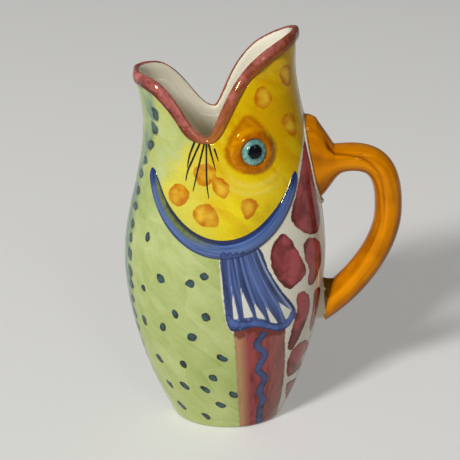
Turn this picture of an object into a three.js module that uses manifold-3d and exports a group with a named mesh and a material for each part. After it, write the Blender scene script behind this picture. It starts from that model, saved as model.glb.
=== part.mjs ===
// Fish pitcher: a glazed earthenware jug shaped as a fish that stands on its tail end with its mouth open.
// Millimetres, +Z up. The belly faces -X, the back and the handle face +X, the fish's left side faces -Y.
// The origin is the middle of the flat foot.
import * as THREE from "three";
import Module from "manifold-3d";

const wasm = await Module();
wasm.setup();

// Gap that stands for the thin layer of slip between two luted pieces.
const SLIP_GAP = 0.3;

// Body: reaches are measured from the vertical axis, heights from the foot.
const HEIGHT = 280;
const FOOT_LENGTH = 79;
const FOOT_WIDTH = 70;
const FOOT_BEVEL = 2;
const BELLY_HEIGHT = 118;
const BELLY_REACH = 71.5;
const THROAT_HEIGHT = 217;
const THROAT_REACH = 56.5;
const BACK_HEIGHT = 121;
const BACK_REACH = 67.5;
const SHOULDER_HEIGHT = 185;
const SHOULDER_REACH = 60;
const NAPE_HEIGHT = 258;
const NAPE_REACH = 44;
const SNOUT_REACH = 46;
const FLANK_HEIGHT = 118;
const FLANK_REACH = 52.5;
const CHEEK_HEIGHT = 215;
const CHEEK_REACH = 40;
const SNOUT_HALF_WIDTH = 31;
const WALL = 5;
const FLOOR = 7;
const FLOOR_ROUND = 14;
const SECTION_POWER = 2.15;

// Mouth: the side view of the rim, from the chin down to the corner and up to the snout.
// SNOUT_BULGE is how far the snout's stretch leaves a straight line for a curl that rises steeply first.
const CHIN_HEIGHT = 252;
const CHIN_REACH = 62.5;
const CORNER_HEIGHT = 216;
const CORNER_X = -11;
const CHIN_CURL = 1.58;
const SNOUT_CURL = 4;
const SNOUT_BULGE = 0.57;
const CORNER_ROUND = 0.06;

// Lip: a coil round the rim, thinner in the corners of the mouth. It is full from LIP_FILL of the lower jaw on,
// and from LIP_SNOUT_FILL of the snout on. LIP_SIDE is the share of its height where its sides start to round.
const LIP_BAND = 8.8;
const LIP_SNOUT_BAND = 7.8;
const LIP_CORNER_BAND = 4;
const LIP_PROUD = 1.2;
const LIP_SIDE = 0.3;
const LIP_FILL = 0.38;
const LIP_SNOUT_FILL = 0.85;

// Handle: an arch from the shoulder to the lower back, with a fin-like flare at its upper root.
// The pulls are the shares of a stretch that the handles of its Bezier curve reach over. The flare
// is highest FLARE_SETBACK before the root and runs out to a notch after FLARE_RISE_LENGTH.
const HANDLE_TOP = 190;
const HANDLE_ARCH = 14.5;
const HANDLE_ELBOW_HEIGHT = 154;
const HANDLE_REACH = 50.7;
const HANDLE_FOOT = 79;
const HANDLE_THICKNESS = 18.4;
const HANDLE_WIDTH = 20;
const HANDLE_HEEL = 1;
const ARCH_PULL = 0.43;
const ELBOW_PULL = 0.27;
const LANDING_PULL = 0.7;
const LANDING_LIFT = 0.33;
const FLARE_RISE = 22;
const FLARE_RISE_LENGTH = 20.5;
const FLARE_SETBACK = 7;
const FLARE_DROP = 22;
const FLARE_DROP_LENGTH = 15;
const FLARE_WIDENING = 3;
const FLARE_FILLET = 0.25;
const UPPER_SEAM = 1.6;
const LOWER_SEAM = 4;
const SEAM_SETBACK = 1.5;
const HANDLE_MIDDLE = (HANDLE_TOP + HANDLE_FOOT) / 2;

// Gill ridges: a crescent on each cheek, between two arcs of ellipses in side view.
// The inner arc is centred higher by GILL_LIFT, so the crescent is widest below. Spreads are in degrees.
const GILL_X = -1.4;
const GILL_HEIGHT = 195;
const GILL_HALF_LENGTH = 50.5;
const GILL_DROP = 58;
const GILL_SPREAD = 83;
const GILL_BAND = 12;
const GILL_LIFT = 20;
const GILL_NARROWING = 1.5;
const GILL_INNER_SPREAD = 70;
const GILL_RISE = 2.4;
const GILL_TIP_TAPER = 0.4;
const GILL_TIP_FADE = 0.5;
const GILL_TIP_SHARE = 0.01;

// Eyes: a domed ball in a raised ring on each side of the head.
const EYE_X = 18.5;
const EYE_HEIGHT = 207;
const EYE_RADIUS = 8.7;
const EYE_RISE = 6.5;
const SOCKET_BAND = 5;
const SOCKET_RISE = 3.4;
const SOCKET_LEAN = 0.15;

// Least thickness at the feathered edge of a relief.
const EDGE_THICKNESS = 0.5;

// Mesh steps.
const COLUMNS = 64;
const OUTER_ROWS = 24;
const INNER_ROWS = 14;
const ROUND_STEPS = 4;
const HANDLE_STEPS = 56;
const HANDLE_SIDES = 18;
const LIP_STEPS = 8;
const GILL_STEPS = 30;
const EYE_STEPS = 24;
const RELIEF_STEPS = 5;
const RIM_HALVINGS = 30;
const RIM_TURNS = 24;

// A smooth line through [height, reach] stations. It never overshoots them, and is straight above the last.
function lineThrough(stations) {
  const last = stations.length - 1;
  const gap = [];
  const rise = [];
  for (let i = 0; i < last; i += 1) {
    gap.push(stations[i + 1][0] - stations[i][0]);
    rise.push((stations[i + 1][1] - stations[i][1]) / gap[i]);
  }
  const endSlope = (g0, g1, r0, r1) => {
    const slope = ((2 * g0 + g1) * r0 - g0 * r1) / (g0 + g1);
    return slope * r0 <= 0 ? 0 : slope;
  };
  const slope = [endSlope(gap[0], gap[1], rise[0], rise[1])];
  for (let i = 1; i < last; i += 1) {
    const a = 2 * gap[i] + gap[i - 1];
    const b = gap[i] + 2 * gap[i - 1];
    const turns = rise[i - 1] * rise[i] <= 0;
    slope.push(turns ? 0 : (a + b) / (a / rise[i - 1] + b / rise[i]));
  }
  slope.push(endSlope(gap[last - 1], gap[last - 2], rise[last - 1], rise[last - 2]));
  const [top, reachAtTop] = stations[last];
  return (height) => {
    if (height > top) return reachAtTop + slope[last] * (height - top);
    let i = 0;
    while (i < last - 1 && height > stations[i + 1][0]) i += 1;
    const t = (height - stations[i][0]) / gap[i];
    const s = 1 - t;
    const ends = (1 + 2 * t) * s * s * stations[i][1] + t * t * (3 - 2 * t) * stations[i + 1][1];
    return ends + t * s * gap[i] * (s * slope[i] - t * slope[i + 1]);
  };
}

const bellyLine = lineThrough([
  [0, FOOT_LENGTH / 2],
  [BELLY_HEIGHT, BELLY_REACH],
  [THROAT_HEIGHT, THROAT_REACH],
  [CHIN_HEIGHT, CHIN_REACH],
]);
const backLine = lineThrough([
  [0, FOOT_LENGTH / 2],
  [BACK_HEIGHT, BACK_REACH],
  [SHOULDER_HEIGHT, SHOULDER_REACH],
  [NAPE_HEIGHT, NAPE_REACH],
  [HEIGHT, SNOUT_REACH],
]);
const flankLine = lineThrough([
  [0, FOOT_WIDTH / 2],
  [FLANK_HEIGHT, FLANK_REACH],
  [CHEEK_HEIGHT, CHEEK_REACH],
  [HEIGHT, SNOUT_HALF_WIDTH],
]);

// The level section of the body: the middle and half length along X, and the half width along Y.
function section(height, grow) {
  const front = -bellyLine(height) - grow;
  const back = backLine(height) + grow;
  return { middle: (front + back) / 2, half: (back - front) / 2, width: flankLine(height) + grow };
}

const rounded = (value) => Math.sign(value) * Math.abs(value) ** (2 / SECTION_POWER);

// A point of the outer wall at an angle round the axis, moved outwards by grow.
function wallPoint(angle, height, grow) {
  const { middle, half, width } = section(height, grow);
  const x = middle + half * rounded(Math.cos(angle));
  return new THREE.Vector3(x, width * rounded(Math.sin(angle)), height);
}

// A point of the wall of one side, found by its place in side view, lifted along the wall's normal.
function sidePoint(side, x, height, lift) {
  const onWall = (atX, atHeight) => {
    const { middle, half, width } = section(atHeight, 0);
    const along = Math.min(Math.abs((atX - middle) / half), 1);
    const across = width * (1 - along ** SECTION_POWER) ** (1 / SECTION_POWER);
    return new THREE.Vector3(atX, side * across, atHeight);
  };
  const step = 0.01;
  const point = onWall(x, height);
  const alongX = onWall(x + step, height).sub(point);
  const alongZ = onWall(x, height + step).sub(point);
  const normal = alongZ.cross(alongX).multiplyScalar(side).normalize();
  return point.addScaledVector(normal, lift);
}

// Height of the rim in side view.
function mouthLine(x) {
  if (x < CORNER_X) {
    const t = Math.min((CORNER_X - x) / (CORNER_X + CHIN_REACH), 1);
    const fall = (1 - t) ** CHIN_CURL;
    return CORNER_HEIGHT + (CHIN_HEIGHT - CORNER_HEIGHT) * 0.5 * (1 + Math.cos(Math.PI * fall));
  }
  const t = Math.min((x - CORNER_X) / (SNOUT_REACH - WALL / 2 - CORNER_X), 1);
  const eased = (Math.hypot(t, CORNER_ROUND) - CORNER_ROUND) / (Math.hypot(1, CORNER_ROUND) - CORNER_ROUND);
  const curled = 1 - (1 - eased) ** SNOUT_CURL;
  return CORNER_HEIGHT + (HEIGHT - CORNER_HEIGHT) * THREE.MathUtils.lerp(eased, curled, SNOUT_BULGE);
}

// Height of the lower edge of a band under the rim, whose breadth is measured square to the rim.
function bandFoot(x, band) {
  let lowest = HEIGHT;
  for (let step = 0; step <= RIM_TURNS; step += 1) {
    const turn = (step / RIM_TURNS) * Math.PI;
    lowest = Math.min(lowest, mouthLine(x + band * Math.cos(turn)) - band * Math.sin(turn));
  }
  return lowest;
}

// Height of the rim, and of the seat that the lip coil lies on, at an angle round the axis.
function rimAt(angle) {
  let low = CORNER_HEIGHT;
  let high = HEIGHT;
  for (let i = 0; i < RIM_HALVINGS; i += 1) {
    const middle = (low + high) / 2;
    const x = wallPoint(angle, middle, -WALL / 2).x;
    if (middle > mouthLine(x)) high = middle;
    else low = middle;
  }
  const x = wallPoint(angle, low, -WALL / 2).x;
  const jaw = x < CORNER_X;
  const reach = jaw ? CORNER_X + CHIN_REACH : SNOUT_REACH - CORNER_X;
  const away = THREE.MathUtils.smoothstep(Math.abs(x - CORNER_X) / reach, 0, jaw ? LIP_FILL : LIP_SNOUT_FILL);
  const band = THREE.MathUtils.lerp(LIP_CORNER_BAND, jaw ? LIP_BAND : LIP_SNOUT_BAND, away);
  return { crest: low, seat: bandFoot(x, band) };
}

const angles = Array.from({ length: COLUMNS }, (_, i) => (i / COLUMNS) * 2 * Math.PI);
const rim = angles.map(rimAt);

// A closed surface through a row of loops with equal numbers of points.
// An open row is capped at both ends, and a ring joins its last loop to its first.
function loft(loops, ring = false) {
  const sides = loops[0].length;
  const points = loops.flat();
  const triangles = [];
  const spans = ring ? loops.length : loops.length - 1;
  for (let row = 0; row < spans; row += 1) {
    const here = row * sides;
    const next = ((row + 1) % loops.length) * sides;
    for (let i = 0; i < sides; i += 1) {
      const j = (i + 1) % sides;
      triangles.push(here + i, here + j, next + j, here + i, next + j, next + i);
    }
  }
  const cap = (loop, first, turn) => {
    const centre = loop.reduce((sum, p) => sum.add(p), new THREE.Vector3()).divideScalar(sides);
    points.push(centre);
    for (let i = 0; i < sides; i += 1) {
      const edge = [first + i, first + ((i + 1) % sides)];
      if (turn) edge.reverse();
      triangles.push(points.length - 1, edge[1], edge[0]);
    }
  };
  if (!ring) {
    cap(loops[0], 0, false);
    cap(loops.at(-1), (loops.length - 1) * sides, true);
  }
  return facingOut(new THREE.BufferGeometry().setFromPoints(points).setIndex(triangles));
}

// The same closed surface with its triangles turned so that they face outwards.
function facingOut(geometry) {
  const place = geometry.getAttribute("position");
  const index = geometry.getIndex();
  const corner = [0, 1, 2].map(() => new THREE.Vector3());
  let volume = 0;
  for (let i = 0; i < index.count; i += 3) {
    corner.forEach((p, k) => p.fromBufferAttribute(place, index.getX(i + k)));
    volume += corner[0].dot(corner[1].clone().cross(corner[2]));
  }
  if (volume < 0) index.array.reverse();
  return geometry;
}

// Between a three.js geometry and a manifold-3d solid.
function solid(geometry) {
  const vertProperties = new Float32Array(geometry.getAttribute("position").array);
  const triVerts = new Uint32Array(geometry.getIndex().array);
  return new wasm.Manifold(new wasm.Mesh({ numProp: 3, vertProperties, triVerts }));
}

function shape(made) {
  const mesh = made.getMesh();
  const geometry = new THREE.BufferGeometry();
  geometry.setAttribute("position", new THREE.BufferAttribute(mesh.vertProperties, 3));
  return geometry.setIndex(new THREE.BufferAttribute(mesh.triVerts, 1));
}

// Body shell: up the outside from the foot, over the seat of the lip and down the inside to the floor.
function bodyShell() {
  const level = (height, grow) => angles.map((angle) => wallPoint(angle, height, grow));
  const wallRow = (bottom, share, grow) =>
    angles.map((angle, i) => wallPoint(angle, bottom + (rim[i].seat - bottom) * share, grow));
  const loops = [level(0, -FOOT_BEVEL)];
  for (let row = 0; row <= OUTER_ROWS; row += 1) {
    loops.push(wallRow(FOOT_BEVEL, row / OUTER_ROWS, 0));
  }
  for (let row = INNER_ROWS; row >= 0; row -= 1) {
    loops.push(wallRow(FLOOR + FLOOR_ROUND, row / INNER_ROWS, -WALL));
  }
  for (let step = 1; step <= ROUND_STEPS; step += 1) {
    const turn = (step / ROUND_STEPS) * (Math.PI / 2);
    const inset = FLOOR_ROUND * (1 - Math.cos(turn));
    loops.push(level(FLOOR + FLOOR_ROUND * (1 - Math.sin(turn)), -WALL - inset));
  }
  return loft(loops);
}

// Lip coil: a rounded bead on the seat at the top of the wall.
// Each section starts with the seat's own two edges, so that the faces on both sides of the slip match.
function lipCoil() {
  const loops = angles.map((angle, i) => {
    const foot = rim[i].seat + SLIP_GAP;
    const tall = rim[i].crest - foot;
    const loop = [wallPoint(angle, foot, 0), wallPoint(angle, foot, -WALL)];
    for (let step = 0; step <= LIP_STEPS; step += 1) {
      const turn = (step / LIP_STEPS) * Math.PI;
      const grow = THREE.MathUtils.lerp(-WALL, LIP_PROUD, 0.5 * (1 - Math.cos(turn)));
      loop.push(wallPoint(angle, foot + tall * THREE.MathUtils.lerp(LIP_SIDE, 1, Math.sin(turn)), grow));
    }
    return loop;
  });
  return loft(loops, true);
}

// The body's full outline as a plain solid, grown outwards, that cuts the ends of the handle.
function core(grow, top) {
  const loops = [];
  for (let row = 0; row <= OUTER_ROWS; row += 1) {
    const height = (row / OUTER_ROWS) * top;
    loops.push(angles.map((angle) => wallPoint(angle, height, grow)));
  }
  return solid(loft(loops));
}

// The middle line of the handle, starting and ending inside the body.
function handlePath() {
  const root = new THREE.Vector3(backLine(HANDLE_TOP), 0, HANDLE_TOP);
  const elbow = new THREE.Vector3(root.x + HANDLE_REACH, 0, HANDLE_ELBOW_HEIGHT);
  const foot = new THREE.Vector3(backLine(HANDLE_FOOT), 0, HANDLE_FOOT);
  const path = new THREE.CurvePath();
  const out = new THREE.Vector3(root.x + HANDLE_REACH * ARCH_PULL, 0, HANDLE_TOP);
  const turn = new THREE.Vector3(elbow.x, 0, HANDLE_TOP + HANDLE_ARCH);
  path.add(new THREE.CubicBezierCurve3(root, out, turn, elbow));
  const drop = elbow.clone().lerp(new THREE.Vector3(elbow.x, 0, HANDLE_FOOT), ELBOW_PULL);
  const land = foot.clone().lerp(elbow, LANDING_PULL);
  land.z = THREE.MathUtils.lerp(HANDLE_FOOT, HANDLE_ELBOW_HEIGHT, LANDING_LIFT);
  path.add(new THREE.CubicBezierCurve3(elbow, drop, land, foot));
  const sunk = new THREE.CurvePath();
  const inside = path.getTangent(1).multiplyScalar(HANDLE_THICKNESS).add(foot);
  sunk.add(new THREE.LineCurve3(root.clone().setX(root.x - HANDLE_THICKNESS), root));
  path.curves.forEach((curve) => sunk.add(curve));
  sunk.add(new THREE.LineCurve3(foot, inside));
  return sunk;
}

// How much of the flare under the handle is left at a distance from the root: a straight slope with a fillet.
function flare(distance) {
  const left = 1 - distance / FLARE_DROP_LENGTH;
  return 0.5 * (left + Math.hypot(left, FLARE_FILLET));
}

// How far the flare rises over the handle at a distance from the root: a rounded fin that ends in a notch.
function finRise(distance) {
  const t = THREE.MathUtils.clamp((distance + FLARE_SETBACK) / FLARE_RISE_LENGTH, 0, 1);
  return FLARE_RISE * (1 - t * t);
}

// The handle as a sweep of an oval section, made slimmer all round by setback.
function handleSweep(setback) {
  const path = handlePath();
  const root = backLine(HANDLE_TOP);
  const loops = [];
  for (let step = 0; step <= HANDLE_STEPS; step += 1) {
    const share = step / HANDLE_STEPS;
    const centre = path.getPointAt(share);
    const tangent = path.getTangentAt(share);
    const outwards = new THREE.Vector3(-tangent.z, 0, tangent.x);
    const fromRoot = centre.x - root;
    const upper = share < 0.5 ? 1 : 0;
    const heel = HANDLE_HEEL * THREE.MathUtils.smoothstep(share, 0.5, 0.9);
    const grip = HANDLE_THICKNESS / 2 + heel - setback;
    const spread = upper * flare(fromRoot);
    const above = grip + upper * finRise(fromRoot);
    const below = grip + FLARE_DROP * spread;
    const wide = HANDLE_WIDTH / 2 + FLARE_WIDENING * spread - setback;
    const loop = [];
    for (let side = 0; side < HANDLE_SIDES; side += 1) {
      const angle = (side / HANDLE_SIDES) * 2 * Math.PI;
      const tall = Math.cos(angle) > 0 ? above : below;
      const point = centre.clone().addScaledVector(outwards, tall * rounded(Math.cos(angle)));
      point.y += wide * rounded(Math.sin(angle));
      loop.push(point);
    }
    loops.push(loop);
  }
  return solid(loft(loops));
}

// Handle: the sweep cut to the back of the body, with room for the slip at both seams.
function handle() {
  const cut = handleSweep(0).subtract(core(UPPER_SEAM, HEIGHT));
  return shape(cut.subtract(core(LOWER_SEAM, HANDLE_MIDDLE)));
}

// Luting slip: the pad of stiff slip between one end of the handle and the body.
function lutingSlip(seam, upper) {
  const layer = core(seam - SLIP_GAP, HEIGHT).subtract(core(SLIP_GAP, HEIGHT));
  const pads = handleSweep(SEAM_SETBACK).intersect(layer).decompose();
  const isUpper = (pad) => pad.boundingBox().min[2] > HANDLE_MIDDLE;
  return shape(pads.find((pad) => isUpper(pad) === upper));
}

// A relief on one side of the body: each loop runs over the top and back along the underside.
// outline gives, for a step along the relief, its edges in side view, and rise gives the height between them.
function relief(side, steps, ring, outline, rise) {
  const loops = [];
  const stops = ring ? steps : steps + 1;
  for (let step = 0; step < stops; step += 1) {
    const share = step / steps;
    const [inner, outer] = outline(share);
    const place = (across, lift) => {
      const x = THREE.MathUtils.lerp(inner[0], outer[0], across);
      return sidePoint(side, x, THREE.MathUtils.lerp(inner[1], outer[1], across), lift);
    };
    const loop = [];
    for (let i = 0; i <= RELIEF_STEPS; i += 1) {
      const across = i / RELIEF_STEPS;
      loop.push(place(across, SLIP_GAP + EDGE_THICKNESS + rise(share, across)));
    }
    for (let i = RELIEF_STEPS; i >= 0; i -= 1) loop.push(place(i / RELIEF_STEPS, SLIP_GAP));
    loops.push(loop);
  }
  return loft(loops, ring);
}

// Gill ridge: a crescent that is widest under the cheek and runs out to rounded tips.
function gillRidge(side) {
  const arc = (share, spread, halfLength, drop, height) => {
    const angle = THREE.MathUtils.degToRad((2 * share - 1) * spread);
    return [GILL_X + halfLength * Math.sin(angle), height - drop * Math.cos(angle)];
  };
  const outline = (share) => {
    const outer = arc(share, GILL_SPREAD, GILL_HALF_LENGTH, GILL_DROP, GILL_HEIGHT);
    const innerLength = GILL_HALF_LENGTH - GILL_NARROWING;
    const innerDrop = GILL_DROP + GILL_LIFT - GILL_BAND;
    const inner = arc(share, GILL_INNER_SPREAD, innerLength, innerDrop, GILL_HEIGHT + GILL_LIFT);
    const swell = Math.sin(Math.PI * THREE.MathUtils.lerp(GILL_TIP_SHARE, 1 - GILL_TIP_SHARE, share));
    const taper = swell ** GILL_TIP_TAPER;
    return [inner, outer.map((value, i) => THREE.MathUtils.lerp(inner[i], value, taper))];
  };
  const rise = (share, across) =>
    GILL_RISE * Math.sin(Math.PI * share) ** GILL_TIP_FADE * Math.sin(Math.PI * across);
  return relief(side, GILL_STEPS, false, outline, rise);
}

// A ring round the eye in side view, between two radii.
const ringRound = (inner, outer) => (share) => {
  const angle = share * 2 * Math.PI;
  return [inner, outer].map((radius) => [
    EYE_X + radius * Math.cos(angle),
    EYE_HEIGHT + radius * Math.sin(angle),
  ]);
};

// Eye socket: a raised ring that holds the ball.
function eyeSocket(side) {
  const inner = EYE_RADIUS + SLIP_GAP;
  const rise = (share, across) =>
    SOCKET_RISE * Math.sin(Math.PI * THREE.MathUtils.lerp(SOCKET_LEAN, 1, across));
  return relief(side, EYE_STEPS, true, ringRound(inner, inner + SOCKET_BAND), rise);
}

// Eyeball: a dome of clay set on the wall inside the socket.
function eyeball(side) {
  const circle = (radius, lift) =>
    Array.from({ length: EYE_STEPS }, (_, i) => {
      const [[x, height]] = ringRound(radius, radius)(i / EYE_STEPS);
      return sidePoint(side, x, height, lift);
    });
  const loops = [];
  for (let step = 1; step <= RELIEF_STEPS; step += 1) {
    loops.push(circle((EYE_RADIUS * step) / RELIEF_STEPS, SLIP_GAP));
  }
  for (let step = 0; step < RELIEF_STEPS; step += 1) {
    const turn = (step / RELIEF_STEPS) * (Math.PI / 2);
    const lift = SLIP_GAP + EDGE_THICKNESS + EYE_RISE * Math.sin(turn);
    loops.push(circle(EYE_RADIUS * Math.cos(turn), lift));
  }
  return loft(loops);
}

const glaze = (color) => new THREE.MeshStandardMaterial({ color, roughness: 0.15, metalness: 0 });

const pitcher = new THREE.Group();
pitcher.name = "fish_pitcher";

function addPiece(name, geometry, color) {
  const mesh = new THREE.Mesh(geometry, glaze(color));
  mesh.name = name;
  pitcher.add(mesh);
}

addPiece("body_shell", bodyShell(), "#b9c878");
addPiece("lip_coil", lipCoil(), "#a0484c");
addPiece("handle", handle(), "#e08a00");
addPiece("upper_luting_slip", lutingSlip(UPPER_SEAM, true), "#e0dcc8");
addPiece("lower_luting_slip", lutingSlip(LOWER_SEAM, false), "#e0dcc8");
for (const [name, side] of [["left", -1], ["right", 1]]) {
  addPiece(`${name}_gill_ridge`, gillRidge(side), "#4060a8");
  addPiece(`${name}_eye_socket`, eyeSocket(side), "#d08800");
  addPiece(`${name}_eyeball`, eyeball(side), "#58a8a0");
}

export default pitcher;
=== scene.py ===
import math

import bpy
import numpy as np
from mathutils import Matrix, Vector


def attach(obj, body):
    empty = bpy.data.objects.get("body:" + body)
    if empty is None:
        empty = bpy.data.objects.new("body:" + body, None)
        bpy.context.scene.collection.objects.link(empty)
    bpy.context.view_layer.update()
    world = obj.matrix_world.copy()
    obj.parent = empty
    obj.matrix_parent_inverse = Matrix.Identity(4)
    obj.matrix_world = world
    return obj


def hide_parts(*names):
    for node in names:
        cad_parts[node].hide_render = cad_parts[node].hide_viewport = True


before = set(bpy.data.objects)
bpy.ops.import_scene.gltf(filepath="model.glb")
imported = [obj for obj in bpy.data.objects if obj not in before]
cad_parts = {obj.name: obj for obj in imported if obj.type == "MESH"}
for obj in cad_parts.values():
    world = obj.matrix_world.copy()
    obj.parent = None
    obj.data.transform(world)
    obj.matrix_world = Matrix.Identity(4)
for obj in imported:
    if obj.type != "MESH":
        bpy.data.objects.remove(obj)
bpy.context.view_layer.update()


# Body: the hollow wall and floor of the jug, a fish that stands on its tail end with its mouth open.
# White earthenware, slip-cast about 5 mm thick, brushed with underglaze colours and dipped in clear glaze.
# Sizes are millimetres from the middle of the foot, as in the CAD part; meshes turn to metres when made.
HEIGHT, FOOT_BEVEL = 280, 2
CHIN_HEIGHT, CHIN_REACH, CHIN_CURL = 252, 62.5, 1.58
CORNER_HEIGHT, CORNER_X, CORNER_ROUND = 216, -11, 0.06
SNOUT_REACH, SNOUT_CURL, SNOUT_BULGE = 46, 4, 0.57
WALL, FLOOR, FLOOR_ROUND = 5, 7, 14
SECTION_POWER = 2.15
LIP_CORNER_BAND, LIP_BAND, LIP_FILL, LIP_SNOUT_BAND, LIP_SNOUT_FILL = 4, 8.8, 0.38, 7.8, 0.85
COLUMNS, OUTER_ROWS, INNER_ROWS = 368, 208, 40


def line_through(*stations):
    """A smooth line of reach over height that never overshoots its stations, straight above the last."""
    heights, reaches = np.array(stations, float).T
    gap = np.diff(heights)
    rise = np.diff(reaches) / gap
    slope = np.zeros(len(heights))
    for i in range(1, len(gap)):
        if rise[i - 1] * rise[i] > 0:
            a, b = 2 * gap[i] + gap[i - 1], gap[i] + 2 * gap[i - 1]
            slope[i] = (a + b) / (a / rise[i - 1] + b / rise[i])
    for end, near, far in ((0, 0, 1), (-1, -1, -2)):
        tilt = ((2 * gap[near] + gap[far]) * rise[near] - gap[near] * rise[far]) / (gap[near] + gap[far])
        slope[end] = tilt if tilt * rise[near] > 0 else 0

    def line(height):
        height = np.asarray(height, float)
        i = np.clip(np.searchsorted(heights, height) - 1, 0, len(gap) - 1)
        t = np.minimum((height - heights[i]) / gap[i], 1)
        s = 1 - t
        ends = (1 + 2 * t) * s * s * reaches[i] + t * t * (3 - 2 * t) * reaches[i + 1]
        bend = t * s * gap[i] * (s * slope[i] - t * slope[i + 1])
        return ends + bend + slope[-1] * np.maximum(height - heights[-1], 0)

    return line


belly_line = line_through((0, 39.5), (118, 71.5), (217, 56.5), (CHIN_HEIGHT, CHIN_REACH))
back_line = line_through((0, 39.5), (121, 67.5), (185, 60), (258, 44), (HEIGHT, SNOUT_REACH))
flank_line = line_through((0, 35), (118, 52.5), (215, 40), (HEIGHT, 31))


def rounded(value):
    """A sine or cosine bent so that a round section becomes a little squarer."""
    return np.sign(value) * np.abs(value) ** (2 / SECTION_POWER)


def wall(angle, height, grow=0.0):
    """Points of the outer wall at an angle round the axis (0 at the back), moved outwards by grow."""
    front, back = -belly_line(height) - grow, back_line(height) + grow
    x = (front + back) / 2 + (back - front) / 2 * rounded(np.cos(angle))
    y = (flank_line(height) + grow) * rounded(np.sin(angle))
    return np.stack(np.broadcast_arrays(x, y, height), -1).astype(float)


def unit(vectors):
    """Vectors brought to length 1."""
    return vectors / np.linalg.norm(vectors, axis=-1, keepdims=True)


def wall_axes(angle, height):
    """Unit vectors round the wall, up it and out of it."""
    along = unit(wall(angle + 0.004, height) - wall(angle - 0.004, height))
    out = unit(np.cross(along, wall(angle, height + 0.2) - wall(angle, height - 0.2)))
    return along, unit(np.cross(out, along)), out


def flank_angle(side, x, height):
    """The angle of the wall point at x and height in side view; side is -1 for the fish's left."""
    front, back = -belly_line(height), back_line(height)
    share = np.clip((2 * np.asarray(x, float) - front - back) / (back - front), -1, 1)
    return side * np.arccos(np.sign(share) * np.abs(share) ** (SECTION_POWER / 2))


def on_flank(side, x, height, lift):
    """A wall point found in side view, lifted along the wall's normal."""
    angle = flank_angle(side, x, height)
    return wall(angle, height) + np.asarray(lift)[..., None] * wall_axes(angle, height)[2]


def mouth_line(x):
    """Height of the rim in side view."""
    t = np.clip((CORNER_X - x) / (CORNER_X + CHIN_REACH), 0, 1)
    chin = (CHIN_HEIGHT - CORNER_HEIGHT) * 0.5 * (1 + np.cos(np.pi * (1 - t) ** CHIN_CURL))
    t = np.clip((x - CORNER_X) / (SNOUT_REACH - WALL / 2 - CORNER_X), 0, 1)
    eased = (np.hypot(t, CORNER_ROUND) - CORNER_ROUND) / (math.hypot(1, CORNER_ROUND) - CORNER_ROUND)
    curled = 1 - (1 - eased) ** SNOUT_CURL
    snout = (HEIGHT - CORNER_HEIGHT) * (eased + (curled - eased) * SNOUT_BULGE)
    return CORNER_HEIGHT + np.where(x < CORNER_X, chin, snout)


def smoothstep(value, start, end):
    """0 before start, 1 after end, and a soft ramp between them."""
    t = np.clip((value - start) / (end - start), 0, 1)
    return t * t * (3 - 2 * t)


angles = np.arange(COLUMNS) / COLUMNS * 2 * np.pi
crest, above = np.full(COLUMNS, float(CORNER_HEIGHT)), np.full(COLUMNS, float(HEIGHT))
for halving in range(30):
    middle = (crest + above) / 2
    over = middle > mouth_line(wall(angles, middle, -WALL / 2)[:, 0])
    crest, above = np.where(over, crest, middle), np.where(over, middle, above)
rim_x = wall(angles, crest, -WALL / 2)[:, 0]
jaw = rim_x < CORNER_X
from_corner = np.abs(rim_x - CORNER_X) / np.where(jaw, CORNER_X + CHIN_REACH, SNOUT_REACH - CORNER_X)
full_band = np.where(jaw, LIP_BAND, LIP_SNOUT_BAND) - LIP_CORNER_BAND
band = LIP_CORNER_BAND + full_band * smoothstep(from_corner, 0, np.where(jaw, LIP_FILL, LIP_SNOUT_FILL))
half_turn = np.linspace(0, np.pi, 49)[:, None]
seat = (mouth_line(rim_x + band * np.cos(half_turn)) - band * np.sin(half_turn)).min(0)


def clay(name, rows, ring=False):
    """A closed skin in metres through rows of loops in millimetres, with a map round and along the rows."""
    rows = np.asarray(rows, float)
    count, around = rows.shape[:2]
    points = rows.reshape(-1, 3)
    r, c = np.meshgrid(np.arange(count if ring else count - 1), np.arange(around), indexing="ij")
    r, c = r.ravel(), c.ravel()
    up, right = (r + 1) % count, (c + 1) % around
    low, high = r * around, up * around
    faces = np.stack([low + c, low + right, high + right, high + c], -1).tolist()
    steps = np.linalg.norm(np.diff(rows, axis=0, append=rows[:1]), axis=2).mean(1)
    caps = [] if ring else [np.linalg.norm(rows[e] - rows[e].mean(0), axis=1).mean() for e in (0, -1)]
    along = np.cumsum(np.concatenate([[0 if ring else caps[0]], steps]))
    along /= along[-1] if ring else along[-2] + caps[1]
    u, u1 = c / around, (c + 1) / around
    unwrapped = np.stack([u, along[r], u1, along[r], u1, along[r + 1], u, along[r + 1]], -1).ravel()
    if not ring:
        points = np.concatenate([points, rows[:1].mean(1), rows[-1:].mean(1)])
        i, o = np.arange(around), np.zeros(around)
        j, last = (i + 1) % around, (count - 1) * around
        faces += np.stack([i * 0 + count * around, j, i], -1).tolist()
        faces += np.stack([i * 0 + count * around + 1, last + i, last + j], -1).tolist()
        near, far = o + along[0], o + along[count - 1]
        first = np.stack([(i + 0.5) / around, o, (i + 1) / around, near, i / around, near], -1)
        second = np.stack([(i + 0.5) / around, o + 1, i / around, far, (i + 1) / around, far], -1)
        unwrapped = np.concatenate([unwrapped, first.ravel(), second.ravel()])
    mesh = bpy.data.meshes.new(name)
    mesh.from_pydata((points * 0.001).tolist(), [], faces)
    mesh.uv_layers.new(name="OFBake").data.foreach_set("uv", unwrapped.astype(np.float32))
    mesh.calc_loop_triangles()
    corner = points[np.array([t.vertices[:] for t in mesh.loop_triangles])]
    if np.einsum("ij,ij->", corner[:, 0], np.cross(corner[:, 1], corner[:, 2])) < 0:
        mesh.flip_normals()
    mesh.shade_smooth()
    piece = bpy.data.objects.new(name, mesh)
    bpy.context.scene.collection.objects.link(piece)
    return piece


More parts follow.
